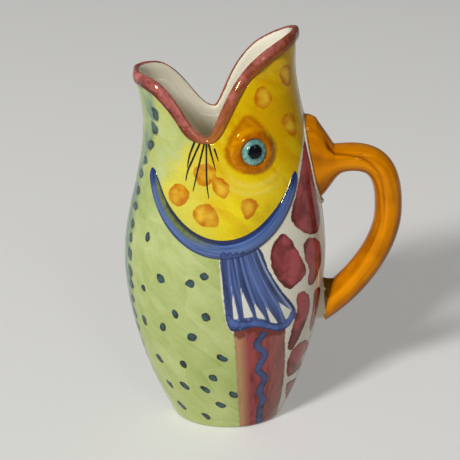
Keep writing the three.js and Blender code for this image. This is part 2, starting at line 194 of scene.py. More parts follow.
def lay_on(piece, name, values):
    """Keeps one number for each point of a piece, for its material to read."""
    kept = np.zeros(len(piece.data.vertices), np.float32)
    kept[: values.size] = values.ravel()
    piece.data.attributes.new(name, "FLOAT", "POINT").data.foreach_set("value", kept)


# Relief cast into the body: ripples under the eye, the cheek's step down behind the gill, the mould's seam
# along the back and the slow unevenness of a hand-finished wall.
EYE_X, EYE_HEIGHT = 18.5, 207
GILL_X, GILL_HEIGHT, GILL_HALF_LENGTH, GILL_DROP = -1.4, 195, 50.5, 58
GILL_INNER_HEIGHT, GILL_INNER_LENGTH, GILL_INNER_DROP = 215, 49, 66
ARC_RADIUS = 56
RIPPLE_RADII, RIPPLE_RISE, RIPPLE_WIDTH = (21.5, 26.5), 0.4, 1.7
RIPPLE_BELOW, RIPPLE_FRONT, RIPPLE_BACK = (6, 18), (-6, 6), (42, 26)
DISH_DEPTH, DISH_WIDTH, DISH_TOP, DISH_LOW, DISH_REACH = 1.9, 7.5, 186, 162, 1.04
SEAM_RISE, SEAM_WIDTH = 0.4, 0.9
UNEVEN, RELIEF_FADE, RELIEF_START = 0.16, 8, 10

share = np.linspace(0, 1, OUTER_ROWS + 1)[:, None]
heights = FOOT_BEVEL + (seat - FOOT_BEVEL) * share
skin = wall(angles[None], heights)
skin_out = wall_axes(angles[None], heights)[2]
x, y, z = np.moveaxis(skin, -1, 0)
from_back = np.degrees(np.where(angles > np.pi, 2 * np.pi - angles, angles))[None] + 0 * z
from_eye = np.hypot(x - EYE_X, z - EYE_HEIGHT)
ripples = sum(np.exp(-(((from_eye - r) / RIPPLE_WIDTH) ** 2)) for r in RIPPLE_RADII)
ripples = ripples * smoothstep(EYE_HEIGHT - z, *RIPPLE_BELOW)
ripples = ripples * smoothstep(x, *RIPPLE_FRONT) * smoothstep(x, *RIPPLE_BACK)
below = np.minimum(z - GILL_INNER_HEIGHT, 0)
inner_arc = np.hypot((x - GILL_X) / GILL_INNER_LENGTH, below / GILL_INNER_DROP)
dish = np.exp(-(((1 - inner_arc) * ARC_RADIUS / DISH_WIDTH) ** 2)) * (inner_arc < DISH_REACH)
dish = dish * smoothstep(z, DISH_TOP, DISH_LOW)
seam = np.exp(-((y / SEAM_WIDTH) ** 2)) * (x > 0) * smoothstep(z, 4, 12)
slow = np.sin(3 * angles + z / 31) + 0.7 * np.sin(z / 17 - 2 * angles) + 0.4 * np.sin(z / 9 + 5 * angles)
relief = RIPPLE_RISE * ripples - DISH_DEPTH * dish + SEAM_RISE * seam + UNEVEN * slow
relief = relief * smoothstep(seat - z, 0, RELIEF_FADE) * smoothstep(z, FOOT_BEVEL, RELIEF_START)

body_rows = [wall(angles, np.full(COLUMNS, 0.0), -FOOT_BEVEL)]
for quarter in (math.pi / 6, math.pi / 3):
    lift, inset = FOOT_BEVEL * (1 - math.cos(quarter)), FOOT_BEVEL * (math.sin(quarter) - 1)
    body_rows.append(wall(angles, np.full(COLUMNS, lift), inset))
outer_start = len(body_rows)
body_rows += list(skin + relief[..., None] * skin_out)
for inner_share in np.linspace(1, 0, INNER_ROWS + 1):
    low = FLOOR + FLOOR_ROUND
    body_rows.append(wall(angles, low + (seat - low) * inner_share, -WALL))
for quarter in np.linspace(0, np.pi / 2, 7)[1:]:
    level, inset = FLOOR + FLOOR_ROUND * (1 - math.sin(quarter)), FLOOR_ROUND * (1 - math.cos(quarter))
    body_rows.append(wall(angles, np.full(COLUMNS, level), -WALL - inset))
for shrink in (0.7, 0.35):
    body_rows.append(body_rows[-1] * (shrink, shrink, 1))
body = clay("fish_body", body_rows)

# Paint on the body: brushed marks, each kept as a distance in millimetres to its edge, negative inside.
# The fish's right side has the marks of its left side a little moved, as a second pass of the brush would
# leave them. Places are x and height in side view.
FAR, FACING_DEPTH = 40.0, 14
hand = np.random.default_rng(11)


def outline_distance(u, v, loop):
    """Distance in a plane to a closed outline, negative inside it."""
    nearest, inside = np.full(u.shape, 1e6), np.zeros(u.shape, bool)
    for (au, av), (bu, bv) in zip(loop, np.roll(loop, -1, 0)):
        length = (bu - au) ** 2 + (bv - av) ** 2 + 1e-9
        t = np.clip(((u - au) * (bu - au) + (v - av) * (bv - av)) / length, 0, 1)
        nearest = np.minimum(nearest, (u - au - t * (bu - au)) ** 2 + (v - av - t * (bv - av)) ** 2)
        inside ^= ((av > v) != (bv > v)) & (u < au + (bu - au) * (v - av) / (bv - av + 1e-12))
    return np.where(inside, -1, 1) * np.sqrt(nearest)


def smooth_loop(points, closed=True, steps=8):
    """A smooth curve through points."""
    points = np.array(points, float)
    ends = [points[-1:], points, points[:2]] if closed else [points[:1], points, points[-1:]]
    padded = np.concatenate(ends)
    t = np.linspace(0, 1, steps, endpoint=False)[:, None]
    curve = []
    for a, b, c, d in zip(padded, padded[1:], padded[2:], padded[3:]):
        curve.append(b + 0.5 * t * (c - a + t * (2 * a - 5 * b + 4 * c - d + t * (3 * (b - c) + d - a))))
    return np.concatenate(curve if closed else curve + [points[-1:]])


def flat_view(angle, height):
    """The skin as seen square on from a place on the wall, with the places that face it."""
    axes = [v[0] for v in wall_axes(np.array([angle]), np.array([height]))]
    middle = wall(np.array([angle]), np.array([height]))[0]
    away = skin - middle
    return middle, axes, away @ axes[0], away @ axes[1], away @ axes[2] > -FACING_DEPTH


def brush_mark(field, angle, height, wide, tall, lean=0.0, point=0.0, uneven=0.1):
    """Lays one oval mark; lean turns its top towards larger angles, point narrows its top."""
    middle, axes, u, v, near = flat_view(angle, height)
    tip = math.radians(lean)
    u, v = u * math.cos(tip) - v * math.sin(tip), u * math.sin(tip) + v * math.cos(tip)
    half, tall = wide / 2 * np.clip(1 - point * v / (tall / 2), 0.3, 1.7), tall / 2
    bearing = np.arctan2(v, u)
    waves = [hand.uniform(0.5, 1) / n**0.5 * np.cos(n * bearing + hand.uniform(0, 6.3)) for n in (2, 3, 4)]
    k0 = np.hypot(u / half, v / tall) / (1 + uneven * sum(waves)) + 1e-6
    k1 = np.hypot(u / half**2, v / tall**2) + 1e-6
    np.minimum(field, np.where(near, k0 * (k0 - 1) / k1, FAR), out=field)


def outlined_mark(field, side, points):
    """Lays one mark whose outline runs through points in side view."""
    loop = smooth_loop(points)
    middle_x, middle_z = loop.mean(0)
    middle, axes, u, v, near = flat_view(flank_angle(side, middle_x, middle_z), middle_z)
    edge = wall(flank_angle(side, loop[:, 0], loop[:, 1]), loop[:, 1]) - middle
    distance = outline_distance(u, v, np.stack([edge @ axes[0], edge @ axes[1]], -1))
    np.minimum(field, np.where(near, distance, FAR), out=field)


def both_sides(field, marks, moved=3.0):
    """Lays oval marks (x, height, wide, tall, lean, point) on the left, and a little moved on the right."""
    for mark_x, mark_z, wide, tall, lean, point in marks:
        brush_mark(field, flank_angle(-1, mark_x, mark_z), mark_z, wide, tall, lean, point)
    for mark_x, mark_z, wide, tall, lean, point in marks:
        mark_x, mark_z = (mark_x, mark_z) + hand.uniform(-moved, moved, 2)
        brush_mark(field, flank_angle(1, mark_x, mark_z), mark_z, wide, tall, -lean, point)


# Zones: green belly and jaw, yellow face between the gills, bare cream back; the fin and the tail panel.
FIN = [(-2.2, 146), (9, 147), (22.5, 145), (29.5, 128), (37.5, 113), (46.5, 98.5), (47.8, 92), (44, 84),
       (37, 81), (28.5, 84.6), (20, 87), (11.5, 85), (5.5, 84.6), (1.8, 92), (-0.8, 118)]
WEDGES = [[(5, 118), (6.4, 93.8), (9.7, 93.5)], [(10.8, 118), (13.4, 94.5), (19.5, 95)],
          [(19.4, 107), (22, 94.2), (28.3, 91.5)], [(27, 104), (31, 89.5), (36.5, 87)],
          [(35.8, 104.5), (41.2, 89.5), (44.5, 91), (44.6, 95.5)]]
WAVE = [(26.6, 81), (22, 72.8), (27.4, 64), (22.8, 52), (27.6, 44), (24.1, 32.8), (26.3, 24.5),
        (24.1, 15.2), (23.7, 0)]
HEM = [(3, 95), (6.4, 90), (14.8, 89.8), (23.4, 89.6), (33, 85.4), (40.5, 84.8), (44.4, 88.4), (46.6, 93)]
WAVE_WIDTH, HEM_WIDTH = 4.8, 5.2
PANEL_TOP, CHEEK_TOP, CHEEK_RADIUS, DEGREE_WIDTH, JAW_BACK = 90, 188, 50, 0.75, 20
YELLOW_LEAN, YELLOW_LEVEL, YELLOW_FRONT, YELLOW_BACK = 0.7, 190, -47, -9


def stroke_distance(points, width):
    """Distance in side view to the edge of a brush stroke that runs through points."""
    line = smooth_loop(points, closed=False)
    return outline_distance(x, z, np.concatenate([line, line[::-1]])) - width / 2


fin = outline_distance(x, z, smooth_loop(FIN))
fin_left = np.interp(z, (80, 93, 118, 146), (4.5, 2, -0.8, -2.2))
fin_right = np.interp(z, (80, 98.5, 113, 128, 146), (52, 46.5, 37.5, 29.5, 22.0))
panel_left = np.interp(z, (0, 45, 90), (10.4, 8.6, 6.4))
panel_right = np.interp(z, (0, 21, 35, 49, 78, 95), (35.6, 38.9, 40.4, 41.3, 40.9, 41.3))
panel = np.maximum.reduce([panel_left - x, x - panel_right, z - PANEL_TOP])
wedges = np.minimum.reduce([outline_distance(x, z, wedge) for wedge in WEDGES])
wave = stroke_distance(WAVE, WAVE_WIDTH)
hem = np.maximum(stroke_distance(HEM, HEM_WIDTH), fin)
outer_arc = np.hypot((x - GILL_X) / GILL_HALF_LENGTH, np.minimum(z - GILL_HEIGHT, 0) / GILL_DROP)
in_gill = (outer_arc + inner_arc) / 2 - 1
face_back = np.interp(z, (185, 192, 200, 208, 217, 229, 240), (40, 37, 31, 24, 16, 8, -9))
face = np.where(z < CHEEK_TOP, in_gill * CHEEK_RADIUS, (face_back - from_back) * DEGREE_WIDTH)
green_edge = np.interp(z, (0, 45, 82, 88, 100, 118, 150), (10.8, 9, 7, 2.2, -0.2, -2, -4))
green = np.where((z > GILL_HEIGHT - GILL_DROP) & (in_gill < 0), FAR, x - green_edge)
green = np.where(z > CHEEK_TOP, x - JAW_BACK, green)
yellow = smoothstep(x - YELLOW_LEAN * (z - YELLOW_LEVEL), YELLOW_FRONT, YELLOW_BACK)

# Marks: cheek spots, belly dots, a row of dabs down each side of the belly, back scales and eye patches.
SPOTS = [(24, 240.6, 13, 13.5, 0, 0.1), (38.8, 252, 12, 15, 0, 0), (42, 221, 12, 16, -12, -0.1),
         (-30.3, 177.3, 15.5, 14.5, 40, -0.2), (-12.5, 192.5, 15, 14, 0, 0),
         (-2.3, 184.6, 10.5, 14, -25, 0.1), (-11.8, 165.5, 17.5, 15.5, 15, 0),
         (16, 170.7, 11, 13.5, 10, -0.3)]
DOTS = [(-51.5, 145.5, 4.2, 7.5, 0, 0), (-42.6, 119, 6, 7, -20, 0), (-22.5, 118.7, 6.5, 6, 30, 0),
        (-13, 124.6, 5.6, 5.8, 20, 0), (-55.2, 108.2, 4, 5.5, -10, 0), (-33.1, 94.8, 4.6, 7, -25, 0),
        (-12.1, 94.8, 6, 6.6, 0, 0), (-55.6, 82.4, 4.8, 8, -20, 0), (-41.9, 82.2, 5, 7, -5, 0),
        (-21.7, 78.4, 6.6, 7, -30, 0), (-45.6, 54.2, 4.6, 8, -35, 0), (-28.2, 55.2, 5.4, 6.2, -30, 0),
        (-1.7, 62.8, 5, 8.6, -62, 0), (-7.9, 46, 5, 7.6, -40, 0), (-39.2, 33, 4, 8, -40, 0.2),
        (-28.1, 36, 5, 8, -45, 0), (-13.4, 35.4, 4.6, 8.4, -50, 0.2), (6, 31.6, 4.6, 8, -42, 0),
        (-3.1, 22.3, 5, 7.4, -60, 0), (-31.4, 15.4, 4.4, 10, -42, 0.2), (-13.5, 10.6, 4, 8, -55, 0.2)]
SCALES = [
    [(51.2, 207), (49.8, 194), (47.2, 179), (43.2, 163), (45.3, 156.8), (54, 147.5), (61, 145), (63.2, 150),
     (62.3, 160), (57.5, 184), (53.6, 202)],
    [(38.8, 152), (33, 147.5), (30.2, 138), (33, 125), (42, 112.8), (47.5, 114), (54.2, 121.5), (48.5, 137),
     (43.5, 147)],
    [(58, 143.5), (52.6, 142.5), (52.5, 134), (56, 122), (55.4, 112.5), (58.5, 109.3), (62.5, 115),
     (64.8, 125), (63.5, 136)],
    [(51.3, 107.8), (47.9, 104.5), (48.4, 96), (46, 82), (42.9, 66), (46.6, 63.2), (52, 74), (56.6, 88),
     (57, 99), (54.5, 105.5)],
    [(63, 104), (60, 102), (59.1, 88), (57.6, 75.5), (58.8, 69.5), (62.2, 81), (64.8, 92), (64.6, 100)],
    [(53.7, 66), (46.3, 62), (42.8, 51), (43.2, 40), (47, 38.3), (52.2, 41), (53, 49), (57, 55), (57, 62)],
    [(49.6, 30.5), (43.7, 32.8), (42.1, 25), (42.4, 14), (44.5, 12.5), (47, 20), (48.5, 26)],
]
BACK_SCALES = ((152, 10, 24), (56, 11, 26), (20, 11, 20))
EYE_PATCH = [(14.5, 230.5), (5.5, 221), (0.3, 208.7), (3.8, 198), (15.5, 193), (26.5, 194.5), (31.5, 201),
             (32, 210), (25, 222)]
DAB_TOP, DAB_LOW, DAB_STEP, DAB_LEAN, DAB_POINT = 228, 14, 11.2, 28, 0.15
DAB_HEIGHTS, DAB_TURNS = (20, 60, 108, 150, 187, 205, 227), (18, 21, 26, 23, 20, 31, 40)
spots, dots, dabs, scales, eye_patch = (np.full(x.shape, FAR) for kind in range(5))
both_sides(spots, SPOTS)
both_sides(dots, DOTS)
for outline in SCALES:
    outlined_mark(scales, -1, outline)
    outlined_mark(scales, 1, np.array(outline) + hand.uniform(-1, 1, 2))
for scale_height, wide, tall in BACK_SCALES:
    brush_mark(scales, 0.0, scale_height, wide, tall)
for which in (-1, 1):
    outlined_mark(eye_patch, which, EYE_PATCH)
    for dab_height in np.arange(DAB_TOP, DAB_LOW, -DAB_STEP):
        dab_height += hand.uniform(-1.2, 1.2)
        dab_turn = 180 - np.interp(dab_height, DAB_HEIGHTS, DAB_TURNS)
        wide, tall = hand.uniform(5.4, 7.4), hand.uniform(6, 10)
        dab_angle = which * math.radians(dab_turn)
        brush_mark(dabs, dab_angle, dab_height, wide, tall, which * DAB_LEAN, DAB_POINT)
dab_line = 180 - from_back - np.interp(z, DAB_HEIGHTS, DAB_TURNS)
smear = smoothstep(dab_line, 5, -3) * (1 - 0.7 * smoothstep(dab_line, -9, -20))

# What the body's material reads at each point of the outer skin. On the inside the marks are far away.
fin_ray = (x - fin_left) / (fin_right - fin_left)
panel_across = (x - panel_left) / (panel_right - panel_left)
FIELDS = {"fin": fin, "fin_ray": fin_ray, "panel": panel, "panel_across": panel_across, "wave": wave,
          "hem": hem, "face": face, "green": green, "yellow": yellow, "spots": spots, "dots": dots,
          "dabs": dabs, "scales": scales, "eye_patch": eye_patch, "smear": smear, "ripples": ripples,
          "wedges": wedges, "inside": 0 * x}
ON_THE_INSIDE = {"smear": 0.0, "ripples": 0.0, "inside": 1.0}
for name, values in FIELDS.items():
    rows = np.full((len(body_rows), COLUMNS), ON_THE_INSIDE.get(name, FAR))
    rows[outer_start: outer_start + OUTER_ROWS + 1] = values
    rows[:outer_start] = values[0]
    lay_on(body, name, rows)


def colour(hex_code):
    """An sRGB hex colour as linear values."""
    parts = [int(hex_code[i: i + 2], 16) / 255 for i in (1, 3, 5)]
    return (*(p / 12.92 if p <= 0.04045 else ((p + 0.055) / 1.055) ** 2.4 for p in parts), 1.0)


def add(tree, kind, inputs=(), out=None, **settings):
    """Adds a node with its settings, fills or links its inputs, and gives back one of its outputs.

    Inputs are a list in the node's order, or go by name or place; a Mix has its colours at places 6 and 7.
    """
    made = tree.nodes.new(kind if "Node" in kind else f"ShaderNode{kind}")
    for key, value in settings.items():
        setattr(made, key, value)
    for key, value in inputs.items() if isinstance(inputs, dict) else enumerate(inputs):
        if isinstance(value, bpy.types.NodeSocket):
            tree.links.new(value, made.inputs[key])
        else:
            made.inputs[key].default_value = value
    usable = [socket for socket in made.outputs if socket.enabled] or [None]
    return made.outputs[out] if out else usable[0]


def blank_material(name, *fields):
    """An empty material, its node tree, the place its patterns read and the numbers kept on its points."""
    material = bpy.data.materials.new(name)
    material.use_nodes = True
    tree = material.node_tree
    tree.nodes.clear()
    kept = [add(tree, "Attribute", out="Fac", attribute_name=field) for field in fields]
    return material, tree, add(tree, "TexCoord", out="Object"), *kept


def clear_glaze(tree, base, mirrored="#FFEFA8", **sockets):
    """Finishes a material with clear gloss glaze over its colour; what it mirrors is tinted faintly straw."""
    gloss = {"Roughness": 0.07, "IOR": 1.5, "Specular Tint": colour(mirrored), **sockets}
    shader = add(tree, "BsdfPrincipled", {"Base Color": base, **gloss})
    add(tree, "OutputMaterial", {"Surface": shader})


# One layer of brushed underglaze: thin in the middle of a mark, pooled darker towards its edge, streaked by
# the brush, with an edge that wanders by a millimetre or less. Every painted mark on the body uses it.
brushed = bpy.data.node_groups.new("brushed_underglaze", "ShaderNodeTree")
for label, kind in (("Ground", "Color"), ("Edge", "Float"), ("Thin", "Color"), ("Pooled", "Color"),
                    ("Pool width", "Float"), ("Softness", "Float"), ("Streak", "Float"),
                    ("Wander", "Float")):
    brushed.interface.new_socket(label, in_out="INPUT", socket_type=f"NodeSocket{kind}")
brushed.interface.new_socket("Colour", in_out="OUTPUT", socket_type="NodeSocketColor")
given = add(brushed, "NodeGroupInput").node.outputs
place = add(brushed, "TexCoord", out="Object")
wander = add(brushed, "TexNoise", {"Vector": place, "Scale": 1 / 0.0035, "Detail": 2.0})
wander = add(brushed, "Math", [wander, -0.5], operation="ADD")
wander = add(brushed, "Math", [wander, given["Wander"], given["Edge"]], operation="MULTIPLY_ADD")
inwards = add(brushed, "Math", [given["Softness"], -1.0], operation="MULTIPLY")
cover = add(brushed, "MapRange", [wander, given["Softness"], inwards], interpolation_type="SMOOTHSTEP")
pool_start = add(brushed, "Math", [given["Pool width"], -1.0], operation="MULTIPLY")
pool = add(brushed, "MapRange", [wander, pool_start, 0.2, 0.0, 0.7], interpolation_type="SMOOTHSTEP")
tone = add(brushed, "Math", [given["Streak"], 2.2, -0.85], operation="MULTIPLY_ADD")
tone = add(brushed, "Math", [pool, tone], operation="ADD", use_clamp=True)
paint = add(brushed, "Mix", {0: tone, 6: given["Thin"], 7: given["Pooled"]}, data_type="RGBA")
laid = add(brushed, "Mix", {0: cover, 6: given["Ground"], 7: paint}, data_type="RGBA")
add(brushed, "NodeGroupOutput", {"Colour": laid})

# Painted earthenware under clear glaze: a deep, wet gloss over colours that show every stroke of the brush.
painted, tree, place, *held = blank_material("painted_earthenware_clear_glaze", *FIELDS)
held = dict(zip(FIELDS, held))
# Washes: patches of 30 mm, 13 mm and 8 mm, leaning strokes 7 mm wide, upright strokes 3 mm wide and a
# grain of 1.5 mm.
wash = add(tree, "TexNoise", {"Vector": place, "Scale": 1 / 0.030, "Detail": 2.0})
blot = add(tree, "TexNoise", {"Vector": place, "Scale": 1 / 0.008, "Detail": 2.0, "Distortion": 0.5})
slant = add(tree, "Mapping", {"Vector": place, "Rotation": (0, math.radians(42), 0), "Scale": (6, 1, 1)},
            vector_type="TEXTURE")
leaning = add(tree, "TexNoise", {"Vector": slant, "Scale": 1 / 0.007, "Detail": 3.0, "Distortion": 0.4})
stretch = add(tree, "Mapping", {"Vector": place, "Scale": (1, 1, 0.07)})
upright = add(tree, "TexNoise", {"Vector": stretch, "Scale": 1 / 0.0032, "Detail": 3.0})
grain = add(tree, "TexNoise", {"Vector": place, "Scale": 1 / 0.0015, "Detail": 2.0})
cloudy = add(tree, "MapRange", [blot, 0.3, 0.7, 0.2, 0.75])
pooling = add(tree, "TexNoise", {"Vector": place, "Scale": 1 / 0.013, "Detail": 1.0, "Distortion": 0.6})
pooling = add(tree, "MapRange", [pooling, 0.36, 0.64, 0.25, 0.7])
streaky = add(tree, "MapRange", [upright, 0.3, 0.7, 0.2, 0.75])
# Overlapping broad strokes: each fades across its width and ends in a clean edge on the next.
sweep = add(tree, "Mapping", {"Vector": place, "Rotation": (0, math.radians(35), 0), "Scale": (3, 1, 1)},
            vector_type="TEXTURE")
sweep = add(tree, "TexNoise", {"Vector": sweep, "Scale": 1 / 0.04, "Detail": 0.5, "Distortion": 0.3})
sweep = add(tree, "Math", [sweep, 7.0], operation="MULTIPLY")
sweep = add(tree, "Math", [sweep], operation="FRACT")
strokes = add(tree, "Math", [wash, leaning], operation="ADD")
strokes = add(tree, "Math", [sweep, 0.22, strokes], operation="MULTIPLY_ADD")
strokes = add(tree, "MapRange", [strokes, 0.75, 1.5])

cream = add(tree, "Mix", {0: wash, 6: colour("#F0EBDD"), 7: colour("#DFD8C4")}, data_type="RGBA")
# Inside the jug the cream is painted paler: painted light where light falls into the mouth.
cream = add(tree, "Mix", {0: held["inside"], 6: cream, 7: colour("#FCF5E0")}, data_type="RGBA")
lime = add(tree, "Mix", {0: strokes, 6: colour("#C8D38F"), 7: colour("#A6B868")}, data_type="RGBA")
coat = add(tree, "Group", {"Ground": cream, "Edge": held["green"], "Thin": lime, "Pooled": lime,
           "Softness": 0.6, "Wander": 1.6}, node_tree=brushed)
# The cheek goes from lime under the jaw through lemon to gold. The gold is deepest above and at the back,
# partly a deeper wash and partly painted shade.
at = add(tree, "SeparateXYZ", [place]).node.outputs
higher = add(tree, "MapRange", [at["Z"], 0.15, 0.215, -0.5, 0.2])
backward = add(tree, "MapRange", [at["X"], 0.005, 0.04, 0.0, 0.3])
gold_deepening_and_shade = add(tree, "Math", [higher, backward], operation="ADD")
gold_deepening_and_shade = add(tree, "Math", [strokes, gold_deepening_and_shade], operation="ADD", use_clamp=True)
sun = add(tree, "Mix", {0: gold_deepening_and_shade, 6: colour("#F6DC10"), 7: colour("#DCA800")}, data_type="RGBA")
yellowing = add(tree, "Math", [leaning, 0.6, held["yellow"]], operation="MULTIPLY_ADD")
lemony = add(tree, "MapRange", [yellowing, 0.2, 0.75], interpolation_type="SMOOTHSTEP")
cheek = add(tree, "Mix", {0: lemony, 6: lime, 7: colour("#E2D852")}, data_type="RGBA")
golden = add(tree, "Math", [leaning, 0.03, at["X"]], operation="MULTIPLY_ADD")
golden = add(tree, "MapRange", [golden, -0.014, 0.022], interpolation_type="SMOOTHSTEP")
golden = add(tree, "Math", [golden, lemony], operation="MULTIPLY")
cheek = add(tree, "Mix", {0: golden, 6: cheek, 7: sun}, data_type="RGBA")
coat = add(tree, "Group", {"Ground": coat, "Edge": held["face"], "Thin": cheek, "Pooled": cheek,
           "Softness": 0.6, "Wander": 1.6}, node_tree=brushed)
smearing = add(tree, "MapRange", [leaning, 0.35, 0.65, 0.3, 1.0])
smearing = add(tree, "Math", [smearing, held["smear"]], operation="MULTIPLY")
coat = add(tree, "Mix", {0: smearing, 6: coat, 7: colour("#688C80")}, data_type="RGBA")
# The ripple crests under the eye are painted paler yellow: a painted highlight on the relief.
pale = add(tree, "Math", [held["ripples"], 0.4], operation="MULTIPLY")
coat = add(tree, "Mix", {0: pale, 6: coat, 7: colour("#F6E470")}, data_type="RGBA")
# Each layer: field, thin and pooled colour, pool width and edge softness in mm, streaks, wander in mm.
LAYERS = [
    ("eye_patch", "#D89200", "#BA6A00", 4.0, 1.8, leaning, 3.0),
    ("scales", "#B44A58", "#5E0822", 3.6, 0.4, pooling, 2.2),
    ("panel", "#A2424C", "#560C22", 1.2, 0.5, streaky, 1.4),
    ("wave", "#42558C", "#1A2448", 1.6, 0.3, cloudy, 1.4),
    ("dots", "#3A5A64", "#0E222E", 1.8, 0.4, cloudy, 1.6),
    ("dabs", "#4E6E6C", "#16303A", 3.0, 1.0, leaning, 2.4),
    ("spots", "#F0C22E", "#CA7600", 5.5, 0.45, blot, 2.2),
]
on_panel = add(tree, "Math", [held["panel"], 0.0], operation="LESS_THAN")
for name, thin, pooled, pool_width, softness, streak, wanders in LAYERS:
    coat = add(tree, "Group", {"Ground": coat, "Edge": held[name], "Thin": colour(thin),
               "Pooled": colour(pooled), "Pool width": pool_width, "Softness": softness, "Streak": streak,
               "Wander": wanders}, node_tree=brushed)
    if name == "panel":
        # A tan strip down the panel's front edge, a faded back edge, and blots where its strokes started.
        strip = add(tree, "MapRange", [held["panel_across"], 0.27, 0.08])
        strip = add(tree, "Math", [strip, upright], operation="MULTIPLY")
        strip = add(tree, "Math", [strip, 1.7], operation="MULTIPLY", use_clamp=True)
        tan = add(tree, "Mix", {0: streaky, 6: colour("#D8B080"), 7: colour("#9C7652")}, data_type="RGBA")
        faded = add(tree, "MapRange", [held["panel_across"], 0.55, 0.9, 0.0, 0.35])
        start = add(tree, "Math", [blot, 0.016, at["Z"]], operation="MULTIPLY_ADD")
        start = add(tree, "MapRange", [start, 0.0865, 0.089, 0.0, 0.85])
        for amount, over in ((strip, tan), (faded, colour("#A88480")), (start, colour("#6E2029"))):
            amount = add(tree, "Math", [amount, on_panel], operation="MULTIPLY")
            coat = add(tree, "Mix", {0: amount, 6: coat, 7: over}, data_type="RGBA")
# Fin: strokes that fan out from the gill, palest where two meet, bare between their ends, thin at the back.
rays = add(tree, "Math", [held["fin_ray"], 6.4], operation="MULTIPLY")
ray_place = add(tree, "CombineXYZ", [rays, at["Z"]])
ray_place = add(tree, "Mapping", {"Vector": ray_place, "Scale": (1, 8, 1)})
ray_streak = add(tree, "TexNoise", {"Vector": ray_place, "Scale": 2.6, "Detail": 3.0})
within = add(tree, "Math", [rays], operation="FRACT")
within = add(tree, "Math", [within, 0.5], operation="SUBTRACT")
within = add(tree, "Math", [within], operation="ABSOLUTE")
ray_edge = add(tree, "MapRange", [within, 0.3, 0.5, 0.2, -0.12])
ray_tone = add(tree, "Math", [ray_streak, ray_edge], operation="ADD")
thinning = add(tree, "MapRange", [held["fin_ray"], 0.78, 0.98])
thin_blue = add(tree, "Mix", {0: thinning, 6: colour("#5A78B8"), 7: colour("#98AED0")}, data_type="RGBA")
coat = add(tree, "Group", {"Ground": coat, "Edge": held["fin"], "Thin": thin_blue,
           "Pooled": colour("#182C62"), "Pool width": 3.4, "Softness": 0.35, "Streak": ray_tone,
           "Wander": 1.4}, node_tree=brushed)
wedge = add(tree, "MapRange", [held["wedges"], 0.35, -0.25])
coat = add(tree, "Mix", {0: wedge, 6: coat, 7: colour("#E6E6DC")}, data_type="RGBA")
coat = add(tree, "Group", {"Ground": coat, "Edge": held["hem"], "Thin": colour("#4E6CB2"),
           "Pooled": colour("#182C66"), "Pool width": 1.8, "Softness": 0.35, "Streak": cloudy,
           "Wander": 1.2}, node_tree=brushed)
pigment = add(tree, "MapRange", [grain, 0.3, 0.7, 0.95, 1.04])
coat = add(tree, "Mix", {0: 1.0, 6: coat, 7: pigment}, data_type="RGBA", blend_type="MULTIPLY")
gloss = add(tree, "MapRange", [wash, 0.3, 0.7, 0.05, 0.11])
flow = add(tree, "TexNoise", {"Vector": place, "Scale": 1 / 0.014, "Detail": 1.0})
flow = add(tree, "Bump", {"Height": flow, "Strength": 0.1, "Distance": 0.002})
clear_glaze(tree, coat, Roughness=gloss, Normal=flow)
body.data.materials.append(painted)
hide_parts("body_shell")
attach(body, "root")


# Whiskers: six fine strokes that fan out under each corner of the mouth.
# Black underglaze drawn with a liner brush, so each stroke is fullest near its start and runs out thin.
WHISKERS = [[(-18.9, 214), (-22.5, 204), (-24, 196)],
            [(-15.6, 213), (-20.5, 201.5), (-23.7, 194), (-25, 187.5)],
            [(-13, 212), (-17, 195.5), (-20.3, 181)],
            [(-11.6, 213), (-11.3, 189), (-9.9, 176.6)], [(-10.2, 212), (-7, 200.5), (-4.2, 191)],
            [(-6.6, 209.5), (-4.8, 204.3), (-2.9, 199)]]
WHISKER_RADIUS, WHISKER_SUNK, WHISKER_POINTS, WHISKER_SIDES = 0.82, 0.42, 40, 10

# Geometry Nodes: sweeps a round section along every path of a piece, as thick as its points say.
stroke_tree = bpy.data.node_groups.new("swept_along_paths", "GeometryNodeTree")
for label, kind in (("Paths", "Geometry"), ("Radius", "Float"), ("Points", "Int"), ("Sides", "Int"),
                    ("Glaze", "Material")):
    stroke_tree.interface.new_socket(label, in_out="INPUT", socket_type=f"NodeSocket{kind}")
stroke_tree.interface.new_socket("Strokes", in_out="OUTPUT", socket_type="NodeSocketGeometry")
given = add(stroke_tree, "NodeGroupInput").node.outputs
swell = add(stroke_tree, "GeometryNodeInputNamedAttribute", {"Name": "swell"}, data_type="FLOAT")
lines = add(stroke_tree, "GeometryNodeMeshToCurve", {"Mesh": given["Paths"]})
lines = add(stroke_tree, "GeometryNodeResampleCurve", {"Curve": lines, "Count": given["Points"]})
section = add(stroke_tree, "GeometryNodeCurvePrimitiveCircle",
              {"Resolution": given["Sides"], "Radius": given["Radius"]})
swept = add(stroke_tree, "GeometryNodeCurveToMesh",
            {"Curve": lines, "Profile Curve": section, "Scale": swell, "Fill Caps": True})
swept = add(stroke_tree, "GeometryNodeSetShadeSmooth", {"Geometry": swept})
swept = add(stroke_tree, "GeometryNodeRealizeInstances", {"Geometry": swept})
swept = add(stroke_tree, "GeometryNodeSetMaterial", {"Geometry": swept, "Material": given["Glaze"]})
add(stroke_tree, "NodeGroupOutput", {"Strokes": swept})


